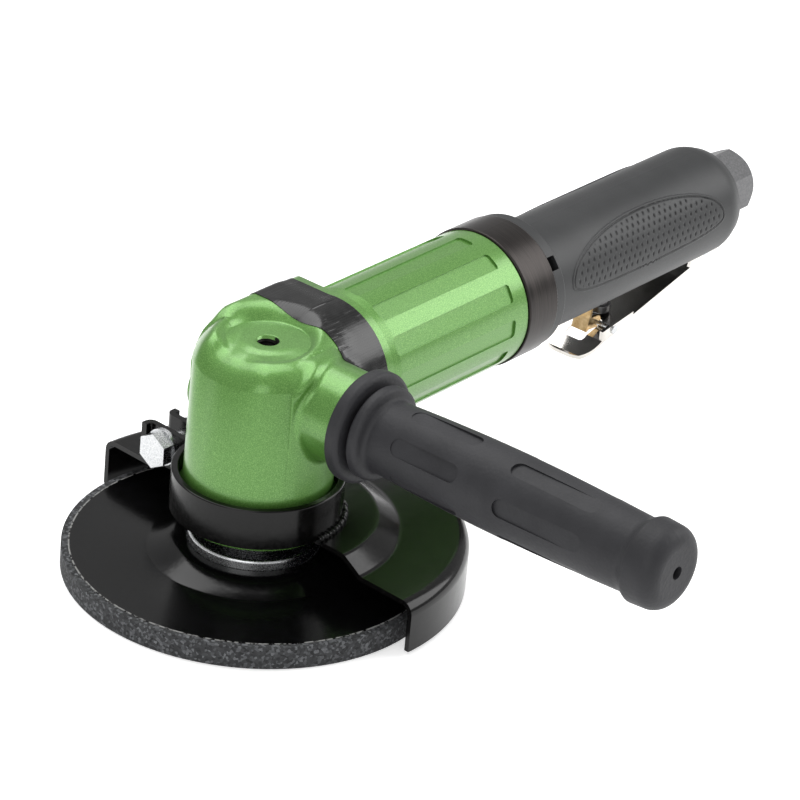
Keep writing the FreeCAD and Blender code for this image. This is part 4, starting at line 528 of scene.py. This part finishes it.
def ovalEdge(count=360):
    # points of the oval's outline as (along, across) in millimetres on the unrolled grip
    points = []
    for step in range(count):
        turn = 2 * math.pi * step / count
        along, across = math.cos(turn), math.sin(turn)
        if across > 0:
            points.append((along * pad["halfLong"], across * pad["up"] * padArc))
        else:
            power = 2 / pad["downPower"]
            points.append((math.copysign(abs(along) ** power, along) * pad["halfLong"],
                           -abs(across) ** power * pad["down"] * padArc))
    return points


def padHeight(edgeDistance):
    # the section across the border, from outside in: lip, groove, then the pad
    if edgeDistance < 0:
        return pad["sunk"]
    if edgeDistance < pad["lip"]:
        rise = math.sin(math.pi / 2 * min(1, edgeDistance / pad["lipRise"]))
        return pad["sunk"] + (pad["lift"] - pad["sunk"]) * rise
    if edgeDistance < pad["lip"] + pad["groove"]:
        return pad["lift"] - pad["pitDeep"] * math.sin(math.pi * (edgeDistance - pad["lip"]) / pad["groove"])
    return pad["lift"]


def pitDepthAndShade(along, across):
    # 1 at the middle of a pit, 0 off the pits; this sets the pit's depth and its painted shade
    row = round(across / pad["pitRow"])
    shifted = along - (0.5 * pad["pitPitch"] if row % 2 else 0.0) - pad["tilt"] * (across - row * pad["pitRow"])
    off = shifted - round(shifted / pad["pitPitch"]) * pad["pitPitch"]
    near = math.hypot(off / pad["pitWide"], (across - row * pad["pitRow"]) / pad["pitTall"])
    return max(0.0, min(1.0, pad["pitSteep"] * (1 - near)))


outline = ovalEdge()
edgeFinder = kdtree.KDTree(len(outline))
for number, (along, across) in enumerate(outline):
    edgeFinder.insert((along, across, 0), number)
edgeFinder.balance()


def insideOval(along, across):
    power, half = (2.0, pad["up"] * padArc) if across > 0 else (pad["downPower"], pad["down"] * padArc)
    return (abs(along) / pad["halfLong"]) ** power + (abs(across) / half) ** power < 1


def gripPad(name, side):
    longCells = int(2 * pad["halfLong"] / pad["cell"]) + 8
    low, high = -pad["down"] * padArc - pad["margin"], pad["up"] * padArc + pad["margin"]
    tallCells = int((high - low) / pad["cell"])
    bpy.ops.mesh.primitive_grid_add(x_subdivisions=longCells, y_subdivisions=tallCells, size=2)
    piece = bpy.context.object
    mesh = bmesh.new()
    mesh.from_mesh(piece.data)
    # this layer holds the painted shade of the pits and the groove
    paintedShadeLayer = mesh.verts.layers.float.new("pitDepthAndShade")
    outside = []
    for vert in mesh.verts:
        along = vert.co.x * (pad["halfLong"] + pad["margin"])
        across = low + (vert.co.y + 1) / 2 * (high - low)
        distance = edgeFinder.find((along, across, 0))[2]
        if not insideOval(along, across):
            distance = -distance
        if distance < -pad["skirt"]:
            outside.append(vert)
        height = padHeight(distance)
        if distance > pad["pitMargin"]:
            shadedPit = pitDepthAndShade(along, across)
            height -= pad["pitDeep"] * shadedPit
            vert[paintedShadeLayer] = shadedPit
        elif pad["lip"] < distance < pad["lip"] + pad["groove"]:
            # the groove gets a fixed share of painted shade
            vert[paintedShadeLayer] = pad["grooveShade"]
        angle = math.radians(pad["centreAngle"]) - across / pad["radius"]
        reach = (pad["radius"] + height) * mm
        vert.co = (pad["centreX"] * mm + along * mm, -side * math.sin(angle) * reach,
                   motorZ - pad["axisDrop"] * mm + math.cos(angle) * reach)
    bmesh.ops.delete(mesh, geom=outside, context="VERTS")
    bmesh.ops.recalc_face_normals(mesh, faces=mesh.faces)
    mesh.to_mesh(piece.data)
    mesh.free()
    finishPiece(piece, name, pitShadedNylon, "body", 60)


gripPad("nearGripPad", 1)
gripPad("farGripPad", -1)
print("grip pads made")


# the weld bead where the guard's collar meets its plate: a lumpy arc round the collar's foot
weld = {"radius": 26.4, "height": 21.9, "thick": 1.15, "from": -94.0, "to": -38.0, "steps": 112, "lump": 1.7,
        "lumpDeep": 0.22, "sides": 14, "uneven": 0.12, "unevenTurn": 3.7}
bpy.ops.mesh.primitive_circle_add(vertices=weld["sides"], radius=weld["thick"] * mm, rotation=(math.pi / 2, 0, 0),
                                  location=(weld["radius"] * mm, 0, weld["height"] * mm))
weldBead = bpy.context.object
bpy.ops.object.transform_apply(location=True, rotation=True, scale=True)
bpy.ops.object.mode_set(mode="EDIT")
bpy.ops.mesh.select_all(action="SELECT")
bpy.ops.mesh.spin(steps=weld["steps"], angle=math.radians(weld["to"] - weld["from"]), center=(0, 0, 0), axis=(0, 0, 1))
bpy.ops.mesh.select_all(action="SELECT")
bpy.ops.mesh.fill_holes(sides=weld["sides"])
bpy.ops.mesh.normals_make_consistent(inside=False)
bpy.ops.object.mode_set(mode="OBJECT")
angles = [math.atan2(vert.co.y, vert.co.x) for vert in weldBead.data.vertices]
turnBack = math.radians(weld["from"]) - min(angles)
for vert, angle in zip(weldBead.data.vertices, angles):
    turned = angle + turnBack
    along = turned * weld["radius"] / weld["lump"]
    swell = (1 + weld["lumpDeep"] * math.sin(2 * math.pi * along)
             + weld["uneven"] * math.sin(weld["unevenTurn"] * along + 1.0))
    out = weld["radius"] + (math.hypot(vert.co.x, vert.co.y) / mm - weld["radius"]) * swell
    vert.co = (math.cos(turned) * out * mm, math.sin(turned) * out * mm,
               (weld["height"] + (vert.co.z / mm - weld["height"]) * swell) * mm)
finishPiece(weldBead, "weldBead", finishes["black_enamel"], "guard", 80)
print("weld made")


# cut threads lining the top hole and the plain side's hole: one profile screwed down the bore
# the thread's dark tones are painted shade down the bores
thread = {"root": 3.36, "crest": 2.85, "pitch": 1.25, "steps": 32, "dark": ("161614", "2A2A27")}


def threadSleeve(name, place, tilt, turns):
    bpy.ops.object.select_all(action="DESELECT")
    bpy.ops.mesh.primitive_plane_add(size=1)
    piece = bpy.context.object
    mesh = bmesh.new()    # the section of one turn takes the plane's place
    points = [mesh.verts.new((radius * mm, 0, height * thread["pitch"] * mm))
              for radius, height in ((thread["root"], 0), (thread["crest"], 0.5), (thread["root"], 1.0))]
    for first, second in zip(points, points[1:]):
        mesh.edges.new((first, second))
    mesh.to_mesh(piece.data)
    mesh.free()
    screw = piece.modifiers.new("screw", "SCREW")
    screw.screw_offset = thread["pitch"] * mm
    screw.iterations = turns
    screw.steps = thread["steps"]
    screw.render_steps = thread["steps"]
    screw.use_merge_vertices = True
    screw.merge_threshold = 0.001 * mm
    bpy.ops.object.modifier_apply(modifier="screw")
    piece.rotation_euler = (tilt, 0, 0)
    piece.location = Vector(place) * mm
    finishPiece(piece, name, boreShadedThread, "body", 20)
    pickOnly(piece)
    bpy.ops.object.mode_set(mode="EDIT")
    bpy.ops.mesh.select_all(action="SELECT")
    bpy.ops.mesh.normals_make_consistent(inside=True)
    bpy.ops.object.mode_set(mode="OBJECT")


# cut aluminium down a bore, coloured near black as painted shade, and half matte
boreShadedThread = plainMetal({"name": "boreShadedThread", "tones": thread["dark"], "rough": (0.4, 0.6), "grain": 0.4,
                          "depth": 0.01, "stretch": (1.0, 1.0, 1.0)})
threadSleeve("topThread", (0, 0, 69.8), 0.0, 5)
threadSleeve("farThread", (2.0, 23.5, 54.0), math.pi / 2, 3)
print("threads made")


# the camera, standing at the front left and a little above
shot = {"azimuth": -52.346, "elevation": 27.708, "roll": 5.284, "distance": 1.2815,
        "aim": (0.0655, 0.0, 0.0345), "focal": 186.93, "film": 36.0}
azimuth, elevation, roll = (math.radians(shot[name]) for name in ("azimuth", "elevation", "roll"))
backward = Vector((math.sin(azimuth) * math.cos(elevation), -math.cos(azimuth) * math.cos(elevation),
                   math.sin(elevation)))
rightward = Vector((math.cos(azimuth), math.sin(azimuth), 0.0))
upward = backward.cross(rightward)
cameraRight = math.cos(roll) * rightward + math.sin(roll) * upward
cameraUp = math.cos(roll) * upward - math.sin(roll) * rightward
bpy.ops.object.camera_add(location=Vector(shot["aim"]) + backward * shot["distance"])
camera = bpy.context.object
camera.name = "camera"
camera.rotation_euler = Matrix((cameraRight, cameraUp, backward)).transposed().to_euler()
camera.data.lens = shot["focal"]
camera.data.sensor_width = shot["film"]
camera.data.clip_end = 20.0
bpy.context.scene.camera = camera

studio = {"floorSize": 8.0, "floorDrop": 0.0003, "worldLight": 0.52, "glow": 0.5}
bpy.ops.mesh.primitive_plane_add(size=studio["floorSize"], location=(0.06, 0, -studio["floorDrop"]))
floor = bpy.context.object
floor.name = "floor"
# matte painted board, near white to the camera and in reflections
floorPaint, tree, shader, place = newMaterial("paleFloor")
setSockets(tree, shader, {"Base Color": linear("F2F2F2"), "Roughness": 0.9})
path = addNode(tree, "ShaderNodeLightPath")
seen = addNode(tree, "ShaderNodeMath", {0: path.outputs["Is Camera Ray"], 1: path.outputs["Is Glossy Ray"]},
               operation="MAXIMUM")
glow = addNode(tree, "ShaderNodeEmission", {"Strength": studio["glow"]})
both = addNode(tree, "ShaderNodeAddShader", {0: shader, 1: glow})
mix = addNode(tree, "ShaderNodeMixShader", {0: seen, 1: shader, 2: both})
output = next(n for n in tree.nodes if n.bl_idname == "ShaderNodeOutputMaterial")
tree.links.new(mix.outputs["Shader"], output.inputs["Surface"])
floor.data.materials.append(floorPaint)

world = bpy.data.worlds.new("studioWorld")
bpy.context.scene.world = world
world.use_nodes = True
tree = world.node_tree
path = addNode(tree, "ShaderNodeLightPath")
strength = addNode(tree, "ShaderNodeMapRange", {"Value": path.outputs["Is Camera Ray"],
                                                "To Min": studio["worldLight"], "To Max": 1.0})
setSockets(tree, tree.nodes["Background"], {"Color": linear("FFFFFF"), "Strength": strength})

lamps = {
    "topSoftbox": {"at": (0.15, 0.35, 1.0), "size": 0.9, "power": 8.0},
    "leftSoftbox": {"at": (-0.9, -0.35, 0.55), "size": 0.7, "power": 2.5},
    "rightSoftbox": {"at": (0.84, -0.56, 0.68), "size": 0.75, "power": 6.5},
}
for lampName, lamp in lamps.items():
    bpy.ops.object.light_add(type="AREA", location=lamp["at"])
    light = bpy.context.object
    light.name = lampName
    light.data.size = lamp["size"]
    light.data.energy = lamp["power"]
    light.rotation_euler = (Vector(lamp["at"]) - Vector(shot["aim"])).to_track_quat("Z", "Y").to_euler()
print("studio set")

bpy.context.scene.view_settings.view_transform = "Standard"
